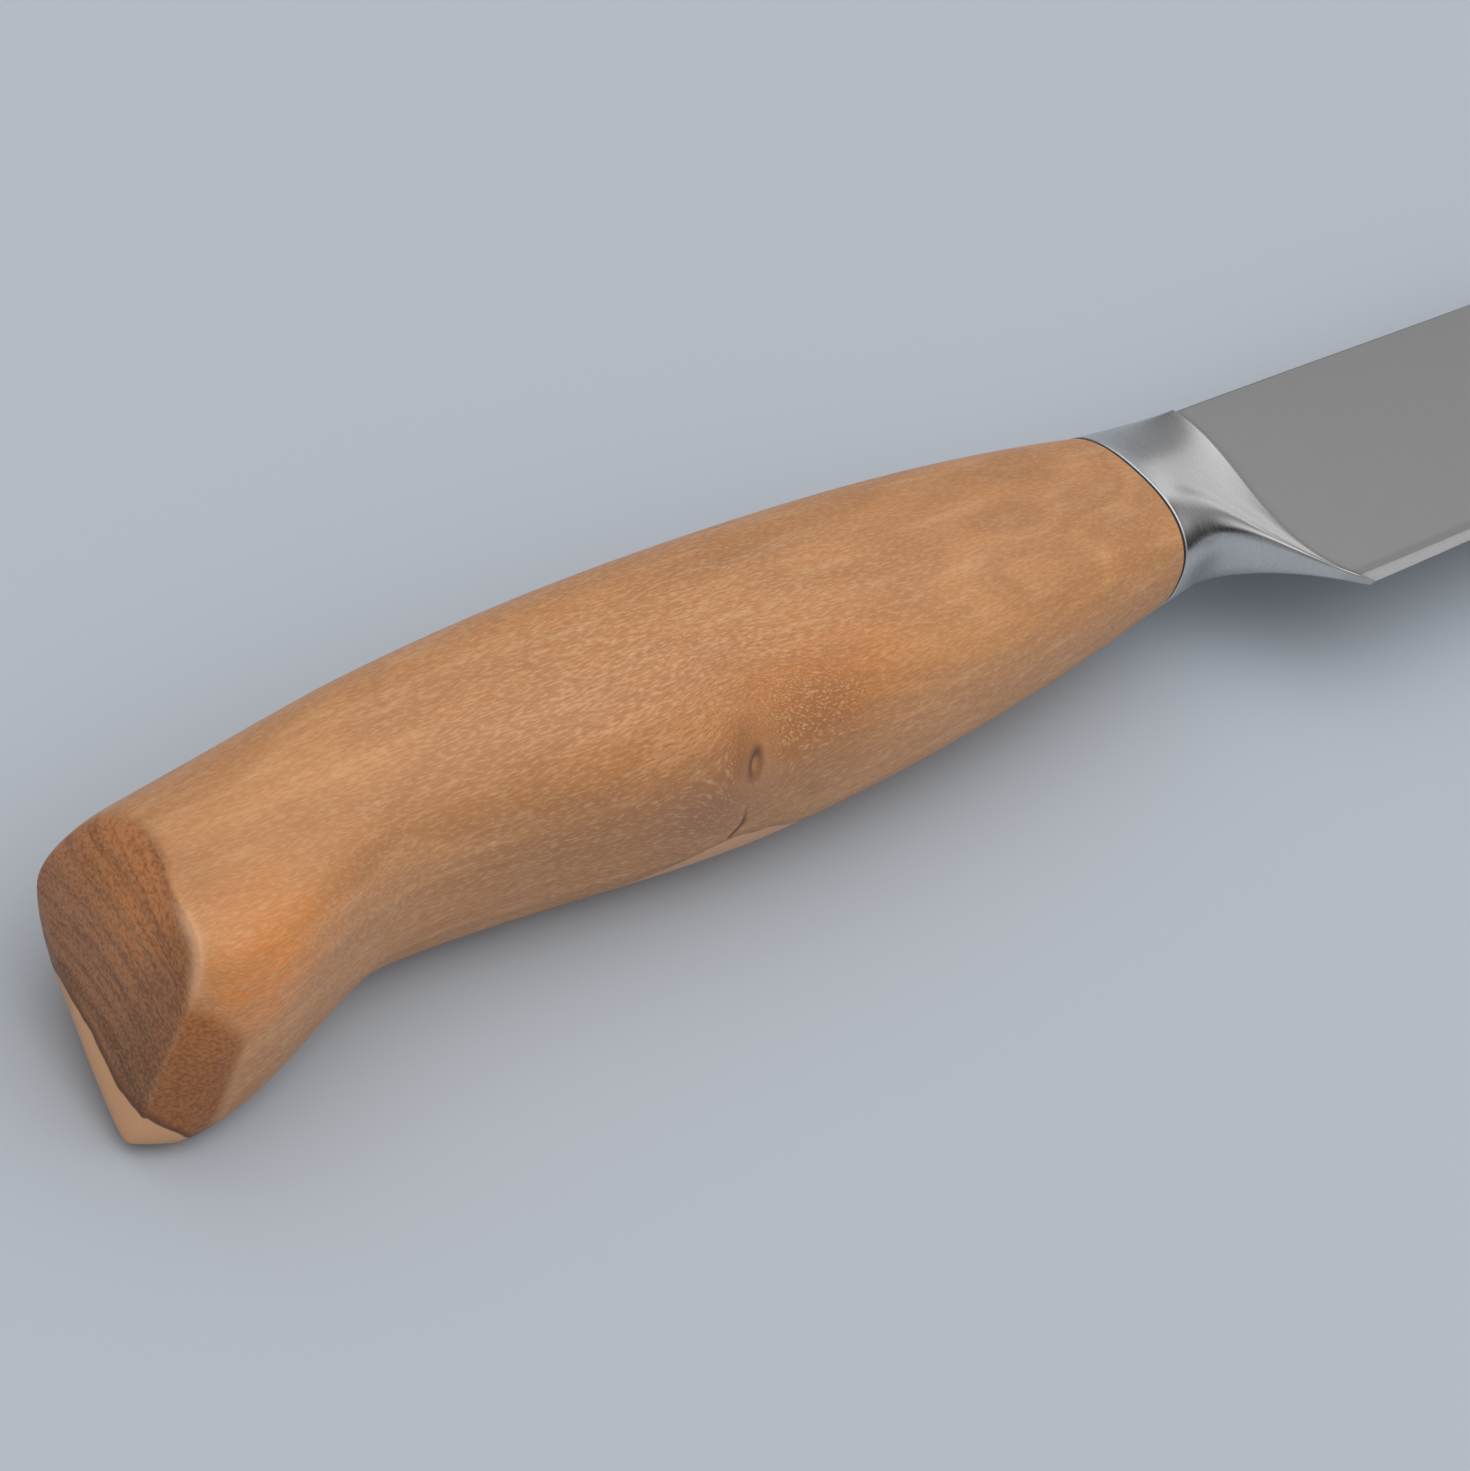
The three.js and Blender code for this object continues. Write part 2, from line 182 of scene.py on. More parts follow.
# Wood figure, on points of the drawn knife. The growth layers are rings about a pith below the
# handle. The sapwood lies under them, shows along the lower edge of the butt and rises once more
# to the belly below the knot. A pair says where a change starts and where it ends.
PITH = (-2.5, -15.0)
SAPWOOD_HIGH = -3.2
SAPWOOD_LOW = -5.45
SAPWOOD_DIP = (-1.5, -9.5)
SAPWOOD_FALL = 0.77
SAPWOOD_FLOOR = -9.1
SAPWOOD_RISE = 6.3
SAPWOOD_RISE_PLACE = -48.5
SAPWOOD_RISE_LENGTH = 11
FACET_FRONT = -95.3
FACET_FADE_LENGTH = 4.4
FACET_FADE_HEIGHT = 6.2
FACET_SOFTNESS = (1.5, 3.0)
FACET_FACING = (0.25, 0.7)
FACET_UPPER_END = (6.4, 2.6)
END_START = (BUTT_MIDDLE + 4, BUTT_MIDDLE + 1)
END_FACING = (0.06, 0.42)
END_TOE = (-3, -7)
END_TOE_TILT = 0.35
END_TONE_FACING = (0.45, 0.75)
END_TONE_HEIGHT = (-3, 5.5)
END_TONE_DEPTH = (-3, -10)
# A painted highlight along the rim of the toe: its width, and where and how strongly it shows at
# the upper corner and along the toe
RIM_HIGHLIGHT_WIDTH = (0.2, 0.48)
RIM_HIGHLIGHT_CORNER_HEIGHT = (3, 6)
RIM_HIGHLIGHT_CORNER_DEPTH = (-5, -8)
RIM_HIGHLIGHT_CORNER_SHARE = 0.6
RIM_HIGHLIGHT_TOE_HEIGHT = (-5.5, -3)
RIM_HIGHLIGHT_TOE_DEPTH = (-7, -9.5)
RIM_HIGHLIGHT_TOE_SHARE = 0.12
KNOT = np.array([-50.0, -10.26, 4.1])
KNOT_NORMAL = np.array([-0.07, -0.945, 0.32])
KNOT_LENGTH = 1.0
KNOT_WIDTH = 2.0
KNOT_DEPTH = 0.22
KNOT_PIT = (1.15, 0.4)
KNOT_FLOW_RADIUS = 3.2
KNOT_FLOW_CORE = 1.6
KNOT_FLOW_FADE_AREA = 220
KNOT_FLOW_DEPTH = 6
CRACK = np.array([[-51.0, 3.4], [-50.4, 2.2], [-49.65, 0.2], [-49.4, -1.2], [-50.0, -2.5]])
CRACK_DEPTH = 0.12
CRACK_WIDTH = 0.5
CRACK_OPENING = (0.3, 0.8)
CRACK_CLOSING = (1.05, 0.95)

# Soft places of the wood: centre, half length along the handle, half width, strength
WARM_SPOTS = [
    ((-94.4, -10.4, 7.2), 6.5, 4.4, 0.5),
    ((-96.2, -12.0, 4.4), 3.8, 3.4, 0.8),
    ((-48.0, -7.4, 7.8), 5.5, 2.6, 0.4),
    ((-38.0, -7.6, 7.3), 6.0, 3.0, 0.45),
    ((-60.0, -7.5, 6.8), 9.0, 3.0, 0.3),
    ((-44.5, -8.6, 6.6), 6.5, 4.0, 0.45),
]
RUST_SPOTS = [
    ((-51.5, -10.0, 4.5), 1.3, 1.8, 0.75),
    ((-51.0, -8.9, 6.5), 1.5, 1.5, 0.4),
    ((-43.6, -9.2, 6.1), 5.2, 3.2, 0.72),
    ((-61.0, -9.0, 3.0), 10.0, 4.0, 0.25),
]
FLECK_SHARE = 0.27
FLECK_SPOTS = [((-55.0, -2.0, 7.0), 22.0, 12.0, 0.3)]
SPECKLE_SPOTS = [((-43.6, -9.2, 6.1), 5.4, 3.4, 1.0), ((-52.0, -9.0, 4.5), 9.0, 5.5, 0.6)]
# Brown places. The first three lie on the belly, where the brown is partly the wood's own greyer
# tone and partly painted shade on the side of the belly
SHADE_SPOTS = [
    ((-53.0, -10.3, 0.8), 4.5, 3.2, 0.6),
    ((-44.5, -10.7, 1.0), 5.0, 2.6, 0.3),
    ((-66.0, -8.6, 1.5), 12.0, 4.5, 0.25),
    ((-41.5, 2.7, 9.1), 5.0, 0.8, 0.3),
]
TONE_SPOTS = [
    ((-94.0, -12.0, 3.5), 5.0, 4.5, 0.28),
    ((-81.0, -8.8, 2.5), 8.0, 4.5, 0.16),
    ((-20.0, -10.0, 1.5), 22.0, 4.0, 0.17),
    ((-13.0, 0.0, 7.2), 11.0, 7.0, -0.11),
    ((-49.0, -6.4, 8.5), 5.0, 2.5, -0.12),
    ((-97.6, -5.2, 8.8), 2.5, 2.5, -0.15),
    ((-100.3, -5.0, 5.4), 3.0, 4.0, 0.2),
    ((-25.5, 1.3, 8.2), 8.0, 3.0, -0.09),
    ((-8.4, -6.5, 4.9), 6.0, 3.0, 0.07),
]

# Camera: the photograph's frame in pixels, and the viewpoint in the drawn frame
FRAME_HEIGHT_PX = 1471
FOCAL_LENGTH_PX = 5297.94
SENSOR_MM = 36
CAMERA_PLACE = (-287.213, -152.609, 227.772)
CAMERA_FORWARD = (0.66557, 0.40629, -0.62605)
CAMERA_UP = (0.28199, 0.63975, 0.71498)
CAMERA_CLIP = (0.01, 50)


# Curves and points

def row_frame(points):
    return np.asarray(points, float) * MM + DRAWN_ORIGIN


def mix(start, end, share):
    return start + (end - start) * share


def smooth_step(value, low=0.0, high=1.0):
    share = np.clip((value - low) / (high - low), 0, 1)
    return share * share * (3 - 2 * share)


def squared(value, squareness):
    """A rounded power of a sine or cosine: 2 gives an ellipse, larger values a squarer oval."""
    return np.sign(value) * np.abs(value) ** (2 / squareness)


def rail(stations, shares):
    """Points at shares of the length of a smooth line through stations (x, y, slope)."""
    t = np.linspace(0, 1, RAIL_STEPS)[:, None]
    runs = []
    for (x0, y0, slope0), (x1, y1, slope1) in zip(stations, stations[1:]):
        third = (x1 - x0) / 3
        start = np.array([x0, y0])
        end = np.array([x1, y1])
        leave = start + third * np.array([1, slope0])
        arrive = end - third * np.array([1, slope1])
        near = (1 - t) ** 3 * start + 3 * (1 - t) ** 2 * t * leave
        runs.append(near + 3 * (1 - t) * t**2 * arrive + t**3 * end)
    line = np.vstack(runs)
    steps = np.linalg.norm(np.diff(line, axis=0), axis=1)
    length = np.concatenate([[0], np.cumsum(steps)])
    wanted = np.asarray(shares) * length[-1]
    return np.stack([np.interp(wanted, length, line[:, axis]) for axis in (0, 1)], 1)


def rail_height(stations, x):
    """The height of the same smooth line above each x."""
    x = np.asarray(x, float)
    ordered = sorted(stations)
    height = np.zeros_like(x)
    for index, ((x0, y0, slope0), (x1, y1, slope1)) in enumerate(zip(ordered, ordered[1:])):
        t = np.clip((x - x0) / (x1 - x0), 0, 1)
        fall = t * t * (3 - 2 * t)
        lead = t * (1 - t) ** 2 * (x1 - x0) * slope0
        trail = t * t * (t - 1) * (x1 - x0) * slope1
        here = y0 * (1 - fall) + y1 * fall + lead + trail
        height = here if index == 0 else np.where(x >= x0, here, height)
    return height


def even_ring(ring):
    """The closed ring with its points spread evenly along it."""
    closed = np.vstack([ring, ring[:1]])
    steps = np.linalg.norm(np.diff(closed, axis=0), axis=1)
    length = np.concatenate([[0], np.cumsum(steps)])
    wanted = np.arange(OVAL_POINTS) / OVAL_POINTS * length[-1]
    return np.stack([np.interp(wanted, length, closed[:, axis]) for axis in range(3)], 1)


def rectangle_ring(ring, x, height, thickness):
    """A rectangle with one point in the direction of each point of the ring."""
    angle = np.arctan2(ring[:, 2], ring[:, 1])
    upright = np.abs(np.cos(angle)) / (height / 2)
    sideways = np.abs(np.sin(angle)) / (thickness / 2)
    reach = np.maximum(upright, sideways)
    y = np.cos(angle) / reach
    z = np.sin(angle) / reach
    return np.stack([np.full_like(y, x), y, z], 1)


def tang_height(x):
    slope = (TANG_ROOT_HEIGHT - TANG_END_HEIGHT) / TANG_LENGTH
    return TANG_ROOT_HEIGHT + slope * x


# Meshes

def signed_volume(points, faces):
    first = points[faces[:, 0]]
    second = points[faces[:, 1]]
    third = points[faces[:, 2]]
    return (first * np.cross(second, third)).sum()


def loft(name, rings, capped=True):
    """A smooth closed mesh through rings of points; it ends in caps or joins its own start."""
    rings = np.asarray(rings)
    ring_count, count = rings.shape[:2]
    points = rings.reshape(-1, 3)
    here = np.arange(ring_count * count).reshape(ring_count, count)
    if not capped:
        here = np.vstack([here, here[:1]])
    beside = np.roll(here, -1, axis=1)
    quads = np.stack([here[:-1], beside[:-1], beside[1:], here[1:]], -1).reshape(-1, 4)
    corners = [quads[:, [0, 1, 2]], quads[:, [0, 2, 3]]]
    fans = []
    if capped:
        start = len(points)
        points = np.vstack([points, rings[0].mean(0), rings[-1].mean(0)])
        fans.append(np.stack([np.full(count, start), beside[0], here[0]], 1))
        fans.append(np.stack([np.full(count, start + 1), here[-1], beside[-1]], 1))
    inside_out = signed_volume(points, np.vstack(corners + fans)) < 0
    faces = [face for group in [quads, *fans] for face in group.tolist()]
    if inside_out:
        faces = [face[::-1] for face in faces]
    mesh = bpy.data.meshes.new(name)
    mesh.from_pydata(row_frame(points).tolist(), [], faces)
    mesh.update()
    piece = bpy.data.objects.new(name, mesh)
    bpy.context.scene.collection.objects.link(piece)
    return piece, points


def shade(piece, sharp_degrees):
    piece.data.shade_smooth()
    piece.data.set_sharp_from_angle(angle=math.radians(sharp_degrees))


def give_numbers(piece, name, values):
    """Stores one number or vector for each point, for the material to read."""
    values = np.asarray(values, np.float32)
    kind = "FLOAT" if values.ndim == 1 else "FLOAT_VECTOR"
    key = "value" if values.ndim == 1 else "vector"
    made = piece.data.attributes.new(name, kind, "POINT")
    made.data.foreach_set(key, values.ravel())


def settle(piece, node):
    """The piece stands for a node of the knife, which is one rigid body."""
    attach(piece, "root")
    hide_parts(node)


# Handle

SPINE_STATIONS = [
    (0, COLLAR_HEIGHT / 2, -FRONT_SPINE_FLARE),
    (-CROWN_BACK, CROWN_HEIGHT, 0),
    (BUTT_SLANT - HANDLE_LENGTH, BUTT_SPINE_HEIGHT, BUTT_SPINE_SLOPE),
]
FACET_SLOPE = (TOE_FACET_RISE - TOE_RIDGE_RISE) / TOE_FACET_LENGTH
BELLY_STATIONS = [
    (0, -COLLAR_HEIGHT / 2, FRONT_BELLY_FLARE),
    (-SWELL_BACK, -SWELL_DEPTH, 0),
    (WAIST_FROM_TOE - HANDLE_LENGTH, -WAIST_DEPTH, 0),
    (TOE_LENGTH - HANDLE_LENGTH, -TOE_DEPTH, 0),
    (TOE_FACET_LENGTH - HANDLE_LENGTH, TOE_FACET_RISE - TOE_DEPTH, FACET_SLOPE),
    (-HANDLE_LENGTH, TOE_RIDGE_RISE - TOE_DEPTH, FACET_SLOPE),
]
SIDE_STATIONS = [
    (0, COLLAR_THICKNESS / 2, -FRONT_SIDE_FLARE),
    (-PALM_BACK, PALM_THICKNESS / 2, 0),
    (BUTT_MIDDLE, BUTT_THICKNESS / 2, 0),
]


def handle_side(x):
    """Half the thickness, which rounds off over the last few millimetres before the butt."""
    into = np.clip(1 - max(x - BUTT_MIDDLE, 0) / BUTT_EDGE_LENGTH, 0, 1)
    return float(rail_height(SIDE_STATIONS, x)) - BUTT_EDGE_DROP * (1 - math.sqrt(1 - into * into))


def handle_ring(top, bottom):
    """One oval ring between a point of the spine and a point of the belly."""
    middle = (top + bottom) / 2
    reach = (top - bottom) / 2
    blend = np.clip(1 - (middle[0] - BUTT_MIDDLE) / TOE_BLEND_LENGTH, 0, 1)
    angle = np.linspace(0, 2 * math.pi, OVAL_FINE_POINTS, endpoint=False)
    toe_end = np.where(np.sin(angle) < 0, TOE_LOWER_SQUARENESS, TOE_UPPER_SQUARENESS)
    square_end = np.where(np.cos(angle) < 0, toe_end, BUTT_SQUARENESS)
    squareness = mix(OVAL_SQUARENESS, square_end, blend**TOE_BLEND_POWER)
    up = squared(np.cos(angle), squareness)
    out = squared(np.sin(angle), squareness) * (1 - TOE_FULLNESS * blend * up)
    z = handle_side(middle[0]) * out
    skew = TOE_SKEW * blend**2 * z * np.maximum(-up, 0)
    ring = np.stack([middle[0] + reach[0] * up + skew, middle[1] + reach[1] * up, z], 1)
    return even_ring(ring)


def dome_rings(rim, top, bottom):
    """The slightly domed butt, with its crown towards the spine."""
    top = np.append(top, 0)
    bottom = np.append(bottom, 0)
    middle = (top + bottom) / 2
    across = (top - bottom) / np.linalg.norm(top - bottom)
    outward = np.array([-across[1], across[0], 0])
    rings = []
    for share in np.linspace(1, 0, DOME_RINGS, endpoint=False)[1:]:
        lift = outward * BUTT_DOME * (1 - share**2)
        rise = across * BUTT_DOME_RISE * (1 - share)
        rings.append((rim - middle) * share + (middle + lift + rise))
    return rings


def soften_rim(rings, rim_index):
    """Eases the rim of the butt: wide on the spine side, crisp along the toe."""
    height = rings[rim_index][:, 1]
    spine_share = smooth_step(height, *RIM_SMOOTHING_CHANGE)
    passes = mix(TOE_RIM_SMOOTHING, SPINE_RIM_SMOOTHING, spine_share)
    first = rim_index - HANDLE_TOE_RINGS + 2
    for step in range(SPINE_RIM_SMOOTHING):
        strength = RIM_SMOOTHING_STRENGTH * np.clip(passes - step, 0, 1)[None, :, None]
        inner = rings[first:-1]
        level = (rings[first - 1:-2] + rings[first + 1:]) / 2
        rings[first:-1] = inner + (level - inner) * strength
    return rings


def knot_place(points):
    """Each point along the grain, across it and out of the wood, counted from the knot."""
    normal = KNOT_NORMAL / np.linalg.norm(KNOT_NORMAL)
    across = np.cross(normal, [1, 0, 0])
    across /= np.linalg.norm(across)
    along = np.cross(across, normal)
    axes = np.stack([along, across, normal])
    return (points - KNOT) @ axes.T, axes


def knot_distance(points):
    """The distance from the knot as a share of its oval size."""
    place, _ = knot_place(points)
    distance = np.hypot(place[:, 0] / (KNOT_LENGTH / 2), place[:, 1] / (KNOT_WIDTH / 2))
    return np.where(np.abs(place[:, 2]) < KNOT_WIDTH, distance, FAR_OFF)


def crack_place(points):
    """How far each point lies beside the crack, and its share of the way along it."""
    height = points[:, 2]
    beside = points[:, 0] - np.interp(height, CRACK[::-1, 1], CRACK[::-1, 0])
    share = (CRACK[0, 1] - height) / (CRACK[0, 1] - CRACK[-1, 1])
    on_belly = points[:, 1] < KNOT[1] / 2
    return np.where(on_belly, beside, FAR_OFF), share


def wear(points):
    """Sinks the knot and the crack below it into the belly."""
    beside, share = crack_place(points)
    length = smooth_step(share, *CRACK_OPENING) * smooth_step(share, *CRACK_CLOSING)
    crack = CRACK_DEPTH * np.exp(-((2 * beside / CRACK_WIDTH) ** 2)) * length
    pit = KNOT_DEPTH * smooth_step(knot_distance(points), *KNOT_PIT)
    normal = KNOT_NORMAL / np.linalg.norm(KNOT_NORMAL)
    return points - (crack + pit)[:, None] * normal


def grain_place(points):
    """Points moved so that straight fibres there run round the knot here."""
    place, axes = knot_place(points)
    along, across, out = place.T
    area = np.maximum(along**2 + across**2, KNOT_FLOW_CORE**2)
    fade = np.exp(-area / KNOT_FLOW_FADE_AREA) * (np.abs(out) < KNOT_FLOW_DEPTH)
    pull = KNOT_FLOW_RADIUS**2 / area * fade
    bent = np.stack([along * (1 + pull), across * (1 - pull), out], 1)
    return KNOT + bent @ axes


def spots(points, places):
    """The strengths of the soft places at each point, added up."""
    total = np.zeros(len(points))
    for centre, length, width, strength in places:
        offset = points - centre
        beside = np.hypot(offset[:, 1], offset[:, 2])
        total += strength * np.exp(-((offset[:, 0] / length) ** 2) - (beside / width) ** 2)
    return np.minimum(total, 1)


def sapwood_depth(points):
    """How far each point lies below the top of the sapwood."""
    x, y, z = points.T
    line = mix(SAPWOOD_HIGH, SAPWOOD_LOW, smooth_step(y, *SAPWOOD_DIP))
    butt = line - SAPWOOD_FALL * np.maximum(x + HANDLE_LENGTH, 0)
    rise = SAPWOOD_RISE * np.exp(-(((x - SAPWOOD_RISE_PLACE) / SAPWOOD_RISE_LENGTH) ** 2))
    belly = SAPWOOD_FLOOR + np.where(y < 0, rise, 0)
    return np.maximum(butt, belly) - z


def end_share(points, facing):
    """1 where the wood shows end grain: on the butt and on the facet of the toe."""
    x, y, z = points.T
    tilt = END_TOE_TILT * smooth_step(y, *END_TOE)
    butt = smooth_step(-facing[:, 0] - tilt, *END_FACING) * smooth_step(x, *END_START)
    fade = smooth_step(z, 0, FACET_FADE_HEIGHT)
    front = FACET_FRONT - FACET_FADE_LENGTH * fade
    facet = smooth_step(front - x, 0, mix(*FACET_SOFTNESS, fade))
    facet = facet * smooth_step(-facing[:, 1], *FACET_FACING) * smooth_step(z, *FACET_UPPER_END)
    return np.maximum(butt, facet)


def rim_distance(points):
    """How far each point near the butt lies from its rim."""
    rim = handle_ring(rail(SPINE_STATIONS, [1])[0], rail(BELLY_STATIONS, [1])[0])
    distance = np.full(len(points), FAR_OFF)
    near = points[:, 0] < FACET_FRONT
    apart = points[near][:, None] - rim[None]
    distance[near] = np.linalg.norm(apart, axis=2).min(1)
    return distance


def rim_highlight_share(points):
    """How much of the painted highlight along the rim of the toe each point takes, most at its
    upper corner.
    """
    _, y, z = points.T
    corner = smooth_step(z, *RIM_HIGHLIGHT_CORNER_HEIGHT) * smooth_step(y, *RIM_HIGHLIGHT_CORNER_DEPTH)
    toe = smooth_step(z, *RIM_HIGHLIGHT_TOE_HEIGHT) * smooth_step(y, *RIM_HIGHLIGHT_TOE_DEPTH)
    share = np.maximum(toe * RIM_HIGHLIGHT_TOE_SHARE, corner * RIM_HIGHLIGHT_CORNER_SHARE)
    width = mix(*RIM_HIGHLIGHT_WIDTH, corner)
    return share * np.exp(-((rim_distance(points) / width) ** 2))


def wood_numbers(points, facing):
    """What the wood's material reads at each point of the handle."""
    place, _ = knot_place(points)
    from_pith = points[:, 1:] - PITH
    layer = np.hypot(from_pith[:, 0], from_pith[:, 1])
    along_layer = np.arctan2(from_pith[:, 0], from_pith[:, 1]) * layer.mean()
    near = knot_distance(points)
    beside, share = crack_place(points)
    return {
        "grain": grain_place(points),
        "layer": np.stack([layer, along_layer, points[:, 0]], 1),
        # the painted highlight along the rim of the toe
        "edge": rim_highlight_share(points),
        "end_tone": np.stack([
            smooth_step(-facing[:, 1], *END_TONE_FACING),
            smooth_step(points[:, 2], *END_TONE_HEIGHT),
            smooth_step(points[:, 1], *END_TONE_DEPTH),
        ], 1),
        "sapwood": sapwood_depth(points),
        "end_share": end_share(points, facing),
        "warm": spots(points, WARM_SPOTS),
        "rust": spots(points, RUST_SPOTS),
        "flecked": FLECK_SHARE + spots(points, FLECK_SPOTS),
        "speckle": spots(points, SPECKLE_SPOTS),
        "shade": spots(points, SHADE_SPOTS),
        "tone": 1 + spots(points, TONE_SPOTS),
        "knot": np.stack([place[:, 0], place[:, 1], near], 1),
        "crack": np.stack([beside, share, np.zeros_like(share)], 1),
    }


def outer_rings():
    """The outside of the handle from its front to the middle of the butt."""
    front_share = FRONT_ROUNDING / HANDLE_LENGTH
    knot_share = -KNOT[0] / HANDLE_LENGTH
    knot_reach = KNOT_RING_REACH / HANDLE_LENGTH
    body = np.linspace(front_share, HANDLE_TOE_SHARE, HANDLE_BODY_RINGS, endpoint=False)
    shares = np.concatenate([
        body[np.abs(body - knot_share) > knot_reach],
        np.linspace(knot_share - knot_reach, knot_share + knot_reach, KNOT_RINGS),
        np.linspace(HANDLE_TOE_SHARE, 1, HANDLE_TOE_RINGS),
    ])
    shares = np.sort(shares)
    tops = rail(SPINE_STATIONS, shares)
    bottoms = rail(BELLY_STATIONS, shares)
    rings = [handle_ring(top, bottom) for top, bottom in zip(tops, bottoms)]
    dome = dome_rings(rings[-1], tops[-1], bottoms[-1])
    rings = soften_rim(np.array(rings + dome), len(rings) - 1)
    return wear(rings.reshape(-1, 3)).reshape(rings.shape)


def front_edge(face):
    """The broken edge of the handle's front."""
    rings = []
    for turn in np.linspace(0, math.pi / 2, ROUNDING_RINGS, endpoint=False):
        inset = FRONT_ROUNDING * (1 - math.sin(turn))
        shrink = 1 - inset / (COLLAR_THICKNESS / 2)
        x = np.full(OVAL_POINTS, -FRONT_ROUNDING * (1 - math.cos(turn)))
        rings.append(np.stack([x, face[:, 1] * shrink, face[:, 2] * shrink], 1))
    return rings


def handle_rings():
    outer = outer_rings()
    face = outer[0]
    thickness = TANG_THICKNESS + 2 * MORTISE_MARGIN
    mortise = [
        rectangle_ring(face, x, tang_height(x) + 2 * MORTISE_MARGIN, thickness)
        for x in (-TANG_LENGTH - MORTISE_MARGIN, 0)
    ]
    rings = np.concatenate([mortise, front_edge(face), outer])
    rings[..., 2] = np.maximum(rings[..., 2], SIDE_FLAT_DEPTH - PALM_THICKNESS / 2)
    return rings


def build_handle(material):
    piece, points = loft("handle_wood", handle_rings())
    shade(piece, SHARP_DEGREES)
    facing = np.empty(len(points) * 3, np.float32)
    piece.data.vertex_normals.foreach_get("vector", facing)
    for name, values in wood_numbers(points, facing.reshape(-1, 3)).items():
        give_numbers(piece, name, values)
    piece.data.materials.append(material)
    settle(piece, "handle")


# Spacer

def collar_ring(x, inset):
    angle = np.linspace(0, 2 * math.pi, OVAL_FINE_POINTS, endpoint=False)
    y = (COLLAR_HEIGHT / 2 - inset) * squared(np.cos(angle), OVAL_SQUARENESS)
    z = (COLLAR_THICKNESS / 2 - inset) * squared(np.sin(angle), OVAL_SQUARENESS)
    return even_ring(np.stack([np.full_like(y, x), y, z], 1))


def build_spacer(material):
    rear = collar_ring(0, SPACER_INSET)
    front = collar_ring(SPACER_THICKNESS, SPACER_INSET)
    thickness = TANG_THICKNESS + 2 * SLOT_MARGIN
    slot = [
        rectangle_ring(rear, x, tang_height(x) + 2 * SLOT_MARGIN, thickness)
        for x in (SPACER_THICKNESS, 0)
    ]
    piece, _ = loft("spacer_sheet", [rear, front, *slot], capped=False)
    shade(piece, SHARP_DEGREES)
    piece.data.materials.append(material)
    settle(piece, "spacer")


# Forging: bolster, blade and tang

BOLSTER_TOP_STATIONS = [
    (SPACER_THICKNESS, COLLAR_HEIGHT / 2, 0),
    (BOLSTER_END, SPINE_HEIGHT + SPINE_STEP, 0),
]
BOLSTER_BOTTOM_STATIONS = [
    (SPACER_THICKNESS, -COLLAR_HEIGHT / 2, 0),
    (NOTCH_FORWARD, NOTCH_RISE - COLLAR_HEIGHT / 2, 0),
    (HEEL_FORWARD, -HEEL_DEPTH, HEEL_SLOPE),
]
BLADE_SPINE_STATIONS = [
    (BOLSTER_END, SPINE_HEIGHT, 0),
    (TIP_FORWARD - SPINE_SWEEP_LENGTH, SPINE_HEIGHT - SPINE_DROP, 0),
    (TIP_FORWARD, -TIP_DEPTH + TIP_BLUNTNESS / 2, TIP_SPINE_SLOPE),
]
BLADE_EDGE_STATIONS = [
    (HEEL_FORWARD, -HEEL_DEPTH, 0),
    (TIP_FORWARD - EDGE_SWEEP_LENGTH, EDGE_LIFT - HEEL_DEPTH, 0),
    (TIP_FORWARD, -TIP_DEPTH - TIP_BLUNTNESS / 2, TIP_EDGE_SLOPE),
]
BOLSTER_SLOT = 0
BLADE_SLOT = 1
EDGE_SLOT = 2
EDGE_ROW = SECTION_ROWS - 1
BEVEL_ROW = EDGE_ROW - 2
ROWS = np.concatenate([
    np.linspace(0, 1, CORNER_ROWS, endpoint=False),
    np.linspace(1, BEVEL_ROW, FLANK_ROWS, endpoint=False),
    np.linspace(BEVEL_ROW, EDGE_ROW, BEVEL_ROWS),
])


def blade_rows(height, along):
    """Depth below the spine and half thickness of each row of a blade section."""
    spine_side = mix(SPINE_THICKNESS, TIP_THICKNESS, along) / 2
    bevel_side = mix(BEVEL_THICKNESS, TIP_BEVEL_THICKNESS, along) / 2
    bevel_height = mix(BEVEL_HEIGHT, TIP_BEVEL_HEIGHT, along)
    rounding = mix(SPINE_ROUNDING, TIP_ROUNDING, along)
    turn = np.clip(ROWS, 0, 1) * math.pi / 2
    corner_depth = rounding * (1 - np.cos(turn))
    corner_side = spine_side - rounding * (1 - np.sin(turn))
    down = (1 - np.cos(math.pi * np.clip((ROWS - 1) / (BEVEL_ROW - 1), 0, 1))) / 2
    flank_depth = mix(rounding, height - bevel_height, down)
    flank_side = mix(spine_side, bevel_side, down**FLANK_CROWN)
    low = np.clip((ROWS - BEVEL_ROW) / (EDGE_ROW - BEVEL_ROW), 0, 1)
    bevel_depth = height - bevel_height * (1 - low)
    bevel_width = mix(bevel_side, EDGE_THICKNESS / 2, low)
    bevel = ROWS > BEVEL_ROW
    depth = np.where(ROWS <= 1, corner_depth, np.where(bevel, bevel_depth, flank_depth))
    side = np.where(ROWS <= 1, corner_side, np.where(bevel, bevel_width, flank_side))
    return depth, side


def mirrored(x, y, z):
    """A closed ring from the rows of its upper side."""
    upper = np.stack([x, y, z], 1)
    lower = np.stack([x, y, -z], 1)[::-1]
    return np.vstack([upper, lower])


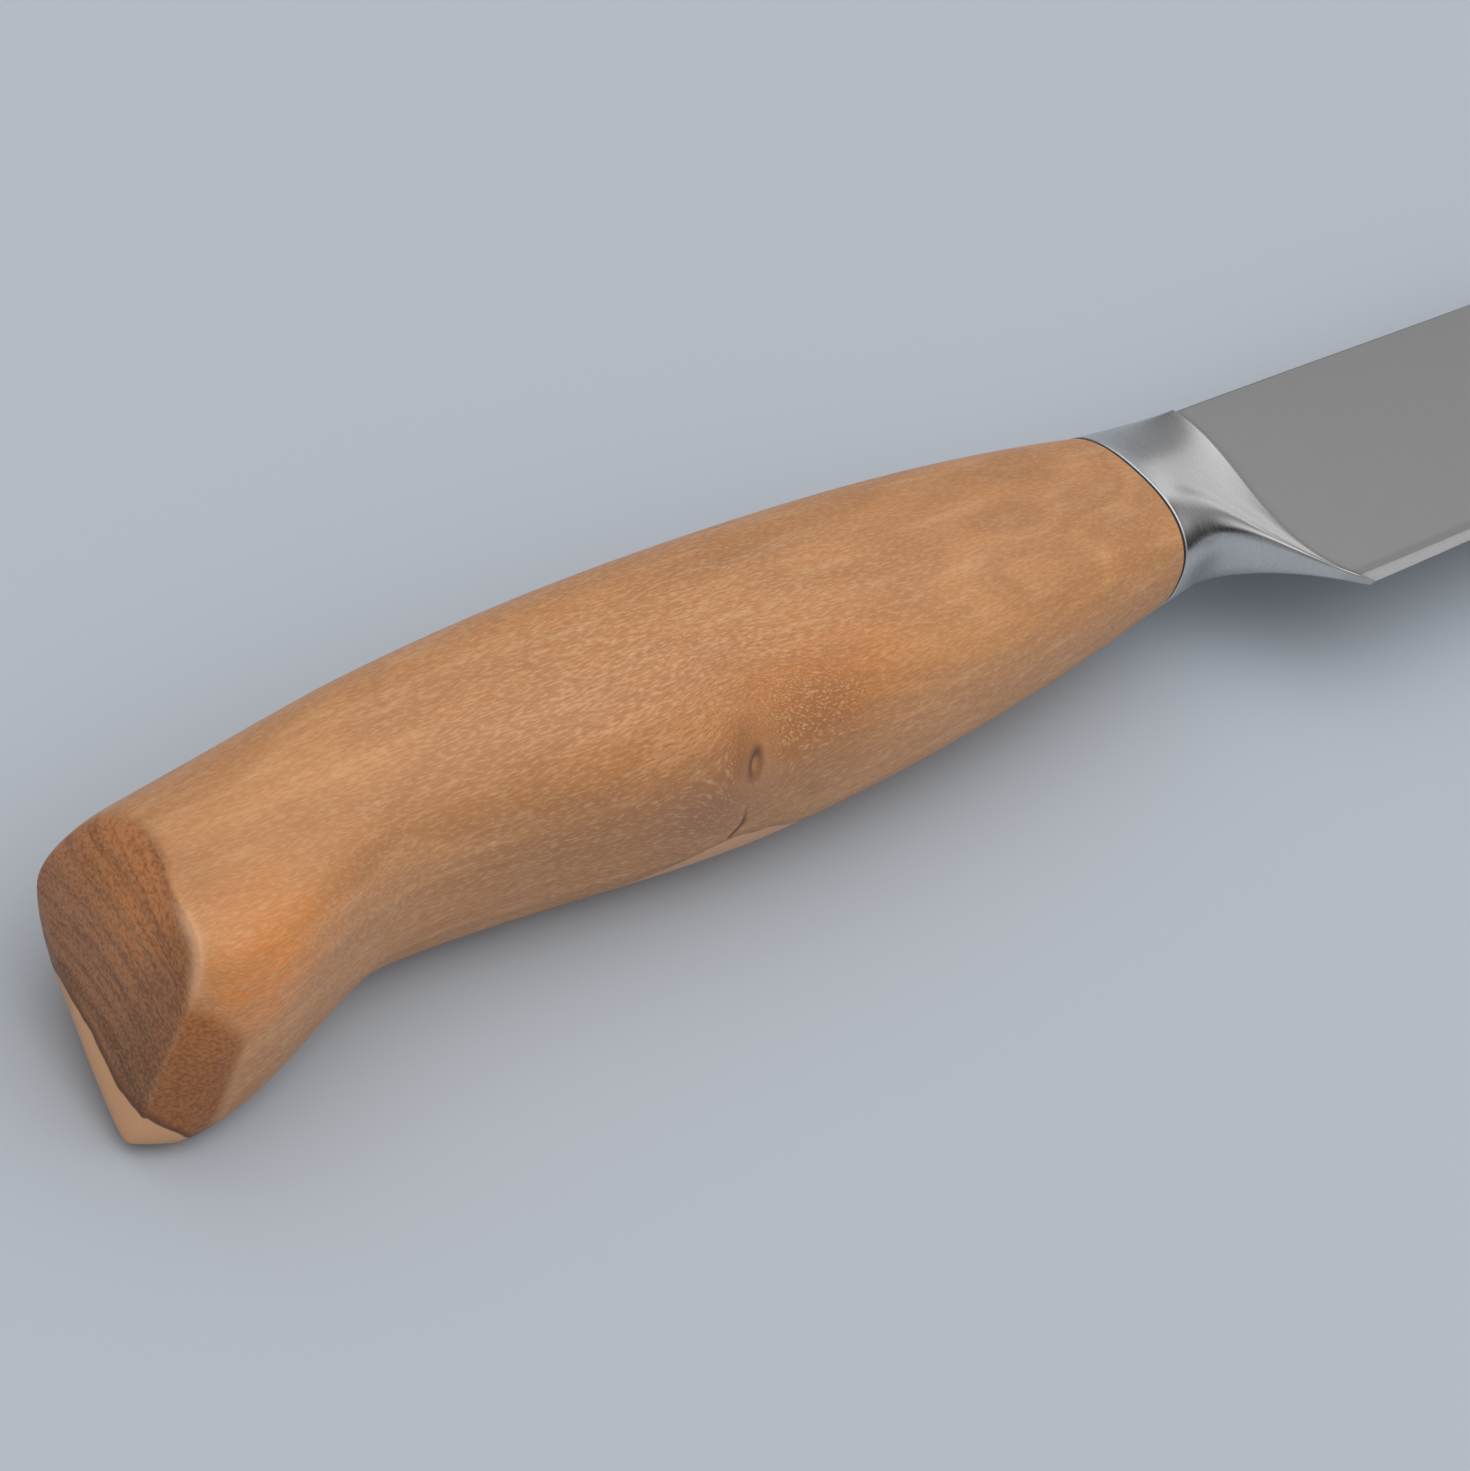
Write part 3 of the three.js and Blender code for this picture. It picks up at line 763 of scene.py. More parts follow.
def bolster_ring(along, high, low):
    angle = math.pi * (ROWS + 0.5) / SECTION_ROWS
    shoulder_share = smooth_step(along, 0, BOLSTER_SHOULDER_SHARE)
    shoulder = mix(OVAL_SQUARENESS, BOLSTER_SQUARENESS, shoulder_share)
    squareness = np.where(np.cos(angle) < 0, shoulder, OVAL_SQUARENESS)
    collar_side = COLLAR_THICKNESS / 2 * squared(np.sin(angle), squareness)
    collar_down = (1 - squared(np.cos(angle), squareness)) / 2
    depth, side = blade_rows(GRIND_HEIGHT, 0)
    down = mix(collar_down, depth / GRIND_HEIGHT, along)
    up = 1 - 2 * down
    bow = GRIND_BOW * along * (1 - up * up) * (1 - GRIND_BOW_LOW * up)
    lower = smooth_step(down, *BOLSTER_SWAY_CHANGE)
    sway = mix(BOLSTER_UPPER_SWAY, BOLSTER_LOWER_SWAY, lower)
    thinning = mix(along, smooth_step(along), sway)
    z = mix(collar_side, side + GRIND_STEP, thinning)
    return mirrored(mix(high[0], low[0], down) - bow, mix(high[1], low[1], down), z)


def bolster_rings():
    shares = np.linspace(0, 1, BOLSTER_RINGS + 1)
    tops = rail(BOLSTER_TOP_STATIONS, shares)
    bottoms = rail(BOLSTER_BOTTOM_STATIONS, shares)
    return [bolster_ring(*place) for place in zip(shares, tops, bottoms)]


def blade_rings(grind_ring):
    start = grind_ring[:len(ROWS), 0]
    fillet_share = GRIND_FILLET / BLADE_LENGTH
    shares = np.concatenate([
        np.linspace(0, fillet_share, FILLET_RINGS, endpoint=False)[1:],
        np.linspace(fillet_share, 1, BLADE_RINGS),
    ])
    rings = []
    for along in shares:
        x = mix(start, TIP_FORWARD, along)
        top = rail_height(BLADE_SPINE_STATIONS, x)
        depth, side = blade_rows(top - rail_height(BLADE_EDGE_STATIONS, x), along)
        step = GRIND_STEP * (1 - math.sin(min(along / fillet_share, 1) * math.pi / 2))
        rings.append(mirrored(x, top - depth, side + step))
    return rings


def steel_slots(ring_count, count, blade_start):
    """The material slot of each face: bolster and tang, flanks of the blade, ground edge."""
    faces = np.arange((ring_count - 1) * count)
    ring_place, row_place = np.divmod(faces, count)
    row_place = np.minimum(row_place, count - 2 - row_place)
    blade = np.where(row_place >= len(ROWS) - BEVEL_ROWS, EDGE_SLOT, BLADE_SLOT)
    sides = np.where(ring_place < blade_start, BOLSTER_SLOT, blade)
    return np.concatenate([sides, np.full(count, BOLSTER_SLOT), np.full(count, BLADE_SLOT)])


def brush_place(rings, bolster_count):
    """Each point's place along the forging and round its section, for the brushed lines."""
    ring_count, count = rings.shape[:2]
    along = np.repeat(np.arange(ring_count), count) / bolster_count * BOLSTER_END
    steps = np.linalg.norm(np.diff(rings, axis=1, prepend=rings[:, :1]), axis=2)
    girth = steps.cumsum(1).ravel()
    place = np.stack([along, girth, np.zeros_like(girth)], 1)
    cap_centres = np.zeros((2, 3))
    return np.vstack([place, cap_centres])


def build_forging(bolster_steel, blade_steel, edge_steel):
    bolster = bolster_rings()
    blade = blade_rings(bolster[-1])
    collar = bolster[0]
    shrink_height = 1 - COLLAR_ROUNDING / (COLLAR_HEIGHT / 2)
    shrink_thickness = 1 - COLLAR_ROUNDING / (COLLAR_THICKNESS / 2)
    edge = collar * (1, shrink_height, shrink_thickness)
    bolster[0] = collar + (COLLAR_ROUNDING, 0, 0)
    tang = [
        rectangle_ring(collar, -TANG_LENGTH, TANG_END_HEIGHT, TANG_THICKNESS),
        rectangle_ring(collar, SPACER_THICKNESS, TANG_ROOT_HEIGHT, TANG_THICKNESS),
    ]
    rings = np.array(tang + [edge] + bolster + blade)
    piece, points = loft("forged_steel", rings)
    shade(piece, STEEL_SHARP_DEGREES)
    for material in (bolster_steel, blade_steel, edge_steel):
        piece.data.materials.append(material)
    slots = steel_slots(*rings.shape[:2], len(tang) + len(bolster))
    piece.data.polygons.foreach_set("material_index", slots.astype(np.int32))
    give_numbers(piece, "brush", brush_place(rings, len(bolster)))
    give_numbers(piece, "drawn", points)
    settle(piece, "blade")


# Materials

# Places of the sockets of a Mix node
MIX_NUMBER_INPUTS = (0, 2, 3)
MIX_NUMBER_OUTPUT = 0
MIX_COLOUR_INPUTS = (0, 6, 7)
MIX_COLOUR_OUTPUT = 2


class Shader:
    """The node tree of a material or a world, with short calls for the nodes that repeat."""

    def __init__(self, name=None, world=None):
        self.material = None if world else bpy.data.materials.new(name)
        owner = world or self.material
        owner.use_nodes = True
        self.tree = owner.node_tree
        self.surface = self.tree.nodes["Background" if world else "Principled BSDF"]

    def node(self, kind, inputs=None, **settings):
        made = self.tree.nodes.new("ShaderNode" + kind)
        for key, value in settings.items():
            setattr(made, key, value)
        for key, value in (inputs or {}).items():
            self.put(made.inputs[key], value)
        return made

    def put(self, socket, value):
        if isinstance(value, bpy.types.NodeSocket):
            self.tree.links.new(value, socket)
        else:
            socket.default_value = value

    def set(self, **inputs):
        for key, value in inputs.items():
            self.put(self.surface.inputs[key.replace("_", " ")], value)

    def number(self, name):
        return self.node("Attribute", attribute_name=name).outputs["Fac"]

    def vector(self, name):
        return self.node("Attribute", attribute_name=name).outputs["Vector"]

    def math(self, operation, first, second=0.0, third=0.0):
        inputs = {0: first, 1: second, 2: third}
        return self.node("Math", inputs, operation=operation).outputs["Value"]

    def scaled(self, vector, scale):
        inputs = {0: vector, 1: scale}
        return self.node("VectorMath", inputs, operation="MULTIPLY").outputs["Vector"]

    def dot(self, vector, axis):
        inputs = {0: vector, 1: axis}
        return self.node("VectorMath", inputs, operation="DOT_PRODUCT").outputs["Value"]

    def parts(self, vector):
        return self.node("SeparateXYZ", {"Vector": vector}).outputs

    def line(self, value):
        return self.node("CombineXYZ", {"X": value}).outputs["Vector"]

    def noise(self, vector, detail=2.0, roughness=0.5):
        inputs = {"Vector": vector, "Scale": 1.0, "Detail": detail, "Roughness": roughness}
        return self.node("TexNoise", inputs).outputs["Fac"]

    def mixed(self, factor, first, second):
        made = self.node("Mix", data_type="FLOAT")
        for index, value in zip(MIX_NUMBER_INPUTS, (factor, first, second)):
            self.put(made.inputs[index], value)
        return made.outputs[MIX_NUMBER_OUTPUT]

    def span(self, value, low, high, start=0.0, end=1.0):
        inputs = {
            "Value": value, "From Min": low, "From Max": high, "To Min": start, "To Max": end,
        }
        return self.node("MapRange", inputs, interpolation_type="SMOOTHSTEP").outputs["Result"]

    def ramp(self, value, stops):
        made = self.node("ValToRGB", {"Fac": value})
        elements = made.color_ramp.elements
        while len(elements) < len(stops):
            elements.new(0.5)
        for element, (place, colour) in zip(elements, stops):
            element.position = place
            element.color = (*colour, 1)
        return made.outputs["Color"]

    def blend(self, factor, first, second, blend_type="MIX"):
        made = self.node("Mix", data_type="RGBA", blend_type=blend_type)
        colours = [
            value if isinstance(value, bpy.types.NodeSocket) else (*value, 1)
            for value in (first, second)
        ]
        for index, value in zip(MIX_COLOUR_INPUTS, (factor, *colours)):
            self.put(made.inputs[index], value)
        return made.outputs[MIX_COLOUR_OUTPUT]

    def stained(self, colour, stains):
        for share, stain in stains:
            colour = self.blend(share, colour, stain)
        return colour

    def bump(self, height, strength, distance):
        inputs = {"Height": height, "Strength": strength, "Distance": distance}
        return self.node("Bump", inputs).outputs["Normal"]


def toned(colour, factor):
    return tuple(part * factor for part in colour)


WOOD = (0.545, 0.255, 0.102)
WOOD_PALE = (0.68, 0.40, 0.21)
# the colour of the painted highlight along the rim of the toe
WOOD_PAINTED_HIGHLIGHT = (0.78, 0.45, 0.26)
WOOD_DARK = (0.40, 0.17, 0.06)
WOOD_WARM = (0.66, 0.225, 0.048)
WOOD_RUST = (0.33, 0.125, 0.04)
WOOD_BROWN = (0.27, 0.138, 0.08)
END_GRAIN = (0.37, 0.165, 0.08)
END_WARM = (0.48, 0.18, 0.058)
FACET = (0.35, 0.13, 0.047)
FACET_WARM = (0.44, 0.15, 0.038)
END_PALE = (0.44, 0.23, 0.12)
END_DARK = (0.12, 0.056, 0.032)
SAPWOOD = (0.67, 0.365, 0.195)
KNOT_COLOUR = (0.13, 0.05, 0.02)
CRACK_COLOUR = (0.10, 0.048, 0.033)

# Looks of the wood. A scale tells how fine a noise is, per millimetre: along the grain and across
# it, or on the end grain out from the pith, round it and along the handle. A span holds the two
# ends of what is read and then, where they aren't 0 and 1, the values it gives there.
BROAD_SCALE = (0.035, 0.22, 0.22)
BROAD_SPAN = (0.3, 0.7)
BROAD_DARK = 0.9
STREAK_SCALE = (0.12, 1.1, 1.1)
STREAK_PALE = (0.5, 0.75, 0.0, 0.35)
STREAK_WARM = (0.35, 0.6, 0.5, 1.0)
FIGURE_SWAY_SCALE = (0.03, 0.08, 0.08)
FIGURE_SWAY = (0.3, 0.7, -2.2, 2.2)
FIGURE_SCALE = 0.85
FIGURE_TONE = (0.35, 0.65, 0.91, 1.09)
FLECK_SCALE = (1.4, 6.4, 6.4)
FLECK_PALE = (0.5, 0.68)
FLECK_DARK = (0.5, 0.34)
SPECKLE_SCALE = (3.4, 8.0, 8.0)
SPECKLE_PALE_SHARE = 0.34
SPECKLE_DARK_SHARE = 0.9
CRISP_NOISE = 0.6
END_BEND_SCALE = (0.05, 0.07, 0.05)
END_BEND = (0.3, 0.7, -0.4, 0.4)
END_LAYER_SCALE = 0.5
END_STOPS = [(0.28, END_DARK), (0.46, END_GRAIN), (0.6, END_GRAIN), (0.74, END_WARM)]
END_OUTER_WARMTH = (15.5, 21.5, 0.0, 0.85)
# The end grain darker towards the toe side: partly its own darker tone, partly painted shade
END_LOWER_SHADE = (0.0, 1.0, 0.0, 0.4)
RING_WIDTH = 0.9
RING_LINE = (0.5, 0.9)
RING_PATCH_SCALE = (0.6, 0.12, 0.1)
RING_PATCH = (0.4, 0.62, 0.15, 0.5)
END_STREAK_SCALE = (2.6, 0.16, 0.1)
END_STREAK_DARK = (0.5, 0.3, 0.0, 0.45)
END_STREAK_PALE = (0.5, 0.7, 0.0, 0.3)
PORE_SCALE = (5.0, 3.4, 3.0)
PORE_DARK = (0.52, 0.34, 0.0, 0.4)
PORE_PALE = (0.48, 0.68, 0.0, 0.4)
WANDER_SCALE = (0.25, 0.4, 0.4)
WANDER = (0.3, 0.7, -0.15, 0.15)
SAPWOOD_EDGE = (-0.08, 0.12)
SAPWOOD_LINE_START = (-0.9, -0.1)
SAPWOOD_LINE_END = (0.12, -0.05)
SAPWOOD_LINE_SHARE = 0.3
SAPWOOD_LINE_GAIN = 0.5
KNOT_RIM_INSIDE = (0.2, 0.9)
KNOT_RIM_OUTSIDE = (1.9, 0.9)
KNOT_RIM_TILT = 0.4
KNOT_RIM_SHARE = (-0.5, 0.4, 0.42, 0.88)
CRACK_STAIN_WIDTH = (0.25, 0.9, 0.02, CRACK_WIDTH / 2)
CRACK_STAIN_START = (0.35, 0.85)
CRACK_STAIN_END = (1.06, 0.98)
CRACK_STAIN_SHARE = (1.5, 0.4, 0.0, 0.85)
WOOD_ROUGHNESS = (0.3, 0.7, 0.5, 0.4)
WOOD_SPECULAR = (0.0, 1.0, 0.45, 0.18)
WOOD_BUMP_STRENGTH = 0.1
WOOD_BUMP_DISTANCE = 0.0001


def flank_colour(shader, grain, from_pith):
    """Broad tones along the grain, the figure of the growth layers, warm and brown places."""
    broad = shader.noise(shader.scaled(grain, BROAD_SCALE), detail=3)
    streak = shader.noise(shader.scaled(grain, STREAK_SCALE))
    colour = shader.blend(shader.span(broad, *BROAD_SPAN), toned(WOOD, BROAD_DARK), WOOD)
    colour = shader.blend(shader.span(streak, *STREAK_PALE), colour, WOOD_PALE)
    sway = shader.span(shader.noise(shader.scaled(grain, FIGURE_SWAY_SCALE)), *FIGURE_SWAY)
    layer = shader.math("MULTIPLY", shader.math("ADD", from_pith, sway), FIGURE_SCALE)
    figure = shader.span(shader.noise(shader.line(layer)), *FIGURE_TONE)
    colour = shader.blend(1.0, colour, figure, "MULTIPLY")
    warm = shader.math("MULTIPLY", shader.number("warm"), shader.span(streak, *STREAK_WARM))
    return shader.stained(colour, [
        (warm, WOOD_WARM),
        (shader.number("rust"), WOOD_RUST),
        # brown places, on the belly partly painted shade
        (shader.number("shade"), WOOD_BROWN),
    ])


def fleck_shares(shader, grain):
    """Fine flecks along the grain, shorter where the wood is speckled, and their two shares."""
    speckle = shader.number("speckle")
    flecked = shader.number("flecked")
    long_flecks = shader.noise(shader.scaled(grain, FLECK_SCALE), detail=1)
    short_flecks = shader.noise(shader.scaled(grain, SPECKLE_SCALE))
    flecks = shader.mixed(speckle, long_flecks, short_flecks)
    pale_share = shader.math("MULTIPLY_ADD", speckle, SPECKLE_PALE_SHARE, flecked)
    dark_share = shader.math("MULTIPLY_ADD", speckle, SPECKLE_DARK_SHARE, flecked)
    pale = shader.math("MULTIPLY", shader.span(flecks, *FLECK_PALE), pale_share)
    dark = shader.math("MULTIPLY", shader.span(flecks, *FLECK_DARK), dark_share)
    return flecks, pale, dark


def end_colour(shader, ring_place, from_pith):
    """End grain: growth layers as soft lines, and pores that follow them."""
    bend = shader.noise(shader.scaled(ring_place, END_BEND_SCALE))
    layer = shader.math("ADD", from_pith, shader.span(bend, *END_BEND))
    broad = shader.noise(shader.line(shader.math("MULTIPLY", layer, END_LAYER_SCALE)))
    rings = shader.math("PINGPONG", shader.math("ADD", layer, RING_WIDTH), RING_WIDTH)
    patches = shader.noise(shader.scaled(ring_place, RING_PATCH_SCALE))
    ring_share = shader.span(patches, *RING_PATCH)
    ring_share = shader.math("MULTIPLY", ring_share, shader.span(rings, *RING_LINE))
    streaks = shader.noise(shader.scaled(ring_place, END_STREAK_SCALE), roughness=CRISP_NOISE)
    pores = shader.noise(shader.scaled(ring_place, PORE_SCALE), detail=1, roughness=CRISP_NOISE)
    tone = shader.parts(shader.vector("end_tone"))
    facet = shader.blend(tone["Y"], FACET, FACET_WARM)
    return shader.stained(shader.ramp(broad, END_STOPS), [
        (shader.span(from_pith, *END_OUTER_WARMTH), END_WARM),
        (ring_share, END_DARK),
        (shader.span(streaks, *END_STREAK_DARK), END_DARK),
        (shader.span(streaks, *END_STREAK_PALE), END_PALE),
        # end grain darker towards the toe side: partly its own tone, partly painted shade
        (shader.span(tone["Z"], *END_LOWER_SHADE), END_DARK),
        (tone["X"], facet),
        (shader.span(pores, *PORE_DARK), END_DARK),
        (shader.span(pores, *PORE_PALE), END_PALE),
    ])


def add_sapwood(shader, colour, grain, end, pale):
    """The sapwood and the dark line along it, which is stronger on the end grain."""
    wander = shader.noise(shader.scaled(grain, WANDER_SCALE))
    wander = shader.span(wander, *WANDER)
    depth = shader.math("ADD", shader.number("sapwood"), wander)
    start = shader.span(depth, *SAPWOOD_LINE_START)
    line = shader.math("MULTIPLY", start, shader.span(depth, *SAPWOOD_LINE_END))
    share = shader.math("MULTIPLY_ADD", end, SAPWOOD_LINE_GAIN, SAPWOOD_LINE_SHARE)
    colour = shader.blend(shader.math("MULTIPLY", line, share), colour, END_DARK)
    sapwood = shader.blend(pale, SAPWOOD, WOOD_PALE)
    return shader.blend(shader.span(depth, *SAPWOOD_EDGE), colour, sapwood)


def add_knot(shader, colour):
    """A dark rim, strongest on its rear and upper side, about a core of the wood's own colour."""
    knot = shader.parts(shader.vector("knot"))
    inside = shader.span(knot["Z"], *KNOT_RIM_INSIDE)
    rim = shader.math("MULTIPLY", inside, shader.span(knot["Z"], *KNOT_RIM_OUTSIDE))
    upper = shader.math("MULTIPLY", knot["Y"], KNOT_RIM_TILT)
    rear = shader.math("SUBTRACT", upper, knot["X"])
    share = shader.math("MULTIPLY", rim, shader.span(rear, *KNOT_RIM_SHARE))
    return shader.blend(share, colour, KNOT_COLOUR)


def add_crack(shader, colour):
    """The dark crack below the knot, which widens towards the sapwood."""
    crack = shader.parts(shader.vector("crack"))
    width = shader.span(crack["Y"], *CRACK_STAIN_WIDTH)
    beside = shader.math("DIVIDE", shader.math("ABSOLUTE", crack["X"]), width)
    start = shader.span(crack["Y"], *CRACK_STAIN_START)
    length = shader.math("MULTIPLY", start, shader.span(crack["Y"], *CRACK_STAIN_END))
    share = shader.math("MULTIPLY", shader.span(beside, *CRACK_STAIN_SHARE), length)
    return shader.blend(share, colour, CRACK_COLOUR)


def wood():
    shader = Shader("oiled_wood")
    grain = shader.vector("grain")
    ring_place = shader.vector("layer")
    from_pith = shader.parts(ring_place)["X"]
    end = shader.number("end_share")
    flecks, pale, dark = fleck_shares(shader, grain)
    colour = shader.stained(flank_colour(shader, grain, from_pith), [
        (pale, WOOD_PALE),
        (dark, WOOD_DARK),
        (end, end_colour(shader, ring_place, from_pith)),
        # the painted highlight along the rim of the toe
        (shader.number("edge"), WOOD_PAINTED_HIGHLIGHT),
    ])
    colour = add_sapwood(shader, colour, grain, end, pale)
    colour = add_knot(shader, colour)
    colour = add_crack(shader, colour)
    colour = shader.blend(1.0, colour, shader.number("tone"), "MULTIPLY")
    shader.set(
        Base_Color=colour,
        Roughness=shader.span(flecks, *WOOD_ROUGHNESS),
        Specular_IOR_Level=shader.span(end, *WOOD_SPECULAR),
        Normal=shader.bump(flecks, WOOD_BUMP_STRENGTH, WOOD_BUMP_DISTANCE),
    )
    return shader.material


# Looks of the steel, the fibre and the adhesive
BOLSTER_LOOK = {
    "base": (0.62, 0.615, 0.61), "contrast": 0.1, "line_scale": (14.0, 0.5, 1.0),
    "roughness": 0.26, "anisotropy": 0.6,
}
BLADE_LOOK = {
    "base": (0.402, 0.394, 0.393), "contrast": 0.02, "line_scale": (9.0, 0.4, 1.0),
    "roughness": 0.38, "anisotropy": 0.0,
}
EDGE_LOOK = {
    "base": (0.59, 0.58, 0.59), "contrast": 0.15, "line_scale": (30.0, 1.0, 1.0),
    "roughness": 0.3, "anisotropy": 0.0,
}
STEEL_LINE_ENDS = (0.3, 0.7)
STEEL_CLOUD_SCALE = (0.12, 0.2, 0.2)
STEEL_CLOUD = (0.3, 0.7, 0.0, 0.5)
STEEL_ROUGHNESS_ENDS = (0.25, 0.75)
STEEL_BUMP_STRENGTH = 0.06
STEEL_BUMP_DISTANCE = 0.00002
BRUSH_TURN = 0.25
# A painted dark reflection in a band low on the steel, above the ground edge
DARK_REFLECTION_HEIGHT = 0.9
DARK_REFLECTION_TOP = BEVEL_HEIGHT + DARK_REFLECTION_HEIGHT - HEEL_DEPTH
DARK_REFLECTION_FADE = 0.5
DARK_REFLECTION_SHARE = 0.5
DARK_REFLECTION_TONE = 0.72
FIBRE_SCALE = (9000, 9000, 9000)
FIBRE_STOPS = [(0.3, (0.012, 0.010, 0.009)), (0.7, (0.035, 0.028, 0.024))]
FIBRE_ROUGHNESS = (0.3, 0.7, 0.6, 0.8)
ADHESIVE_SCALE = (400, 900, 900)
ADHESIVE_STOPS = [(0.3, (0.40, 0.27, 0.09)), (0.7, (0.55, 0.42, 0.19))]
ADHESIVE_ROUGHNESS = (0.3, 0.7, 0.25, 0.4)


def brushed_steel(name, base, contrast, line_scale, roughness, anisotropy):
    """Steel with fine lines, soft clouds and a painted dark reflection in a band above the ground
    edge.
    """
    shader = Shader(name)
    drawn = shader.vector("drawn")
    brush = shader.scaled(shader.vector("brush"), line_scale)
    lines = shader.noise(brush, detail=3, roughness=CRISP_NOISE)
    cloud = shader.noise(shader.scaled(drawn, STEEL_CLOUD_SCALE))
    low = toned(base, 1 - contrast)
    high = toned(base, 1 + contrast)
    tone = shader.ramp(lines, list(zip(STEEL_LINE_ENDS, (low, high))))
    colour = shader.blend(shader.span(cloud, *STEEL_CLOUD), tone, low)
    # the painted dark reflection above the ground edge
    height = shader.parts(drawn)["Y"]
    band_full = DARK_REFLECTION_TOP - DARK_REFLECTION_FADE
    band = shader.span(height, DARK_REFLECTION_TOP, band_full, 0.0, DARK_REFLECTION_SHARE)
    colour = shader.blend(band, colour, toned(base, DARK_REFLECTION_TONE))
    smoothest = roughness * (1 - contrast)
    roughest = roughness * (1 + contrast)
    shader.set(
        Base_Color=colour,
        Roughness=shader.span(lines, *STEEL_ROUGHNESS_ENDS, smoothest, roughest),
        Metallic=1.0,
        Normal=shader.bump(lines, STEEL_BUMP_STRENGTH, STEEL_BUMP_DISTANCE),
    )
    if anisotropy:
        tangent = shader.node("Tangent", direction_type="RADIAL", axis="X").outputs["Tangent"]
        shader.set(Anisotropic=anisotropy, Anisotropic_Rotation=BRUSH_TURN, Tangent=tangent)
    return shader.material


def mottled(name, scale, stops, roughness, detail=2):
    """A material with one noise, on the piece's own coordinates in metres."""
    shader = Shader(name)
    place = shader.node("TexCoord").outputs["Object"]
    noise = shader.noise(shader.scaled(place, scale), detail)
    shader.set(Base_Color=shader.ramp(noise, stops), Roughness=shader.span(noise, *roughness))
    return shader.material


def fibre():
    return mottled("black_fibre", FIBRE_SCALE, FIBRE_STOPS, FIBRE_ROUGHNESS)


def adhesive():
    return mottled("cured_adhesive", ADHESIVE_SCALE, ADHESIVE_STOPS, ADHESIVE_ROUGHNESS, detail=3)


# Stage, light and camera. A direction is an azimuth and an elevation in degrees. A wall starts and
# ends at cosines of the angle from its middle, and its top is the height of a direction.

FLOOR_COLOUR = (0.45, 0.49, 0.545)
FLOOR_ROUGHNESS = 0.9
FLOOR_SPECULAR = 0.2
FLOOR_HALF = 4.0
FLOOR_DROP = 0.00005
SKY_STRENGTH = 0.96
SKY_LOW = 0.1
SKY_HORIZON = (0.14, 0.14, 0.14)
SKY_ZENITH = (1.0, 1.0, 1.0)
SKY_FRONT = (-128, 44)
SKY_FRONT_SHARE = 0.94
DARK_WALL = (-32, 0)
DARK_WALL_SHARE = 0.98
DARK_WALL_START = 0.62
DARK_WALL_END = 0.85
DARK_WALL_TOP = 0.32
DARK_WALL_FADE = 0.5
PALE_WALL = (19, 2)
PALE_WALL_LEVEL = 0.18
PALE_WALL_START = 0.88
PALE_WALL_END = 0.985
WINDOW_SIDE = (18.3, 4)
WINDOW_DISTANCE = 1.2
WINDOW_WIDTH = 0.2
WINDOW_HEIGHT = 0.2
WINDOW_POWER = 0.155


def build_floor():
    sides = [(-1, -1), (1, -1), (1, 1), (-1, 1)]
    corners = [(x * FLOOR_HALF, y * FLOOR_HALF, -FLOOR_DROP) for x, y in sides]
    mesh = bpy.data.meshes.new("floor")
    mesh.from_pydata(corners, [], [(0, 1, 2, 3)])
    floor = bpy.data.objects.new("floor", mesh)
    bpy.context.scene.collection.objects.link(floor)
    shader = Shader("pale_floor")
    shader.set(Base_Color=(*FLOOR_COLOUR, 1), Roughness=FLOOR_ROUGHNESS)
    shader.set(Specular_IOR_Level=FLOOR_SPECULAR)
    mesh.materials.append(shader.material)


def direction_of(azimuth, elevation):
    azimuth = math.radians(azimuth)
    elevation = math.radians(elevation)
    flat = math.cos(elevation)
    return Vector((flat * math.cos(azimuth), flat * math.sin(azimuth), math.sin(elevation)))


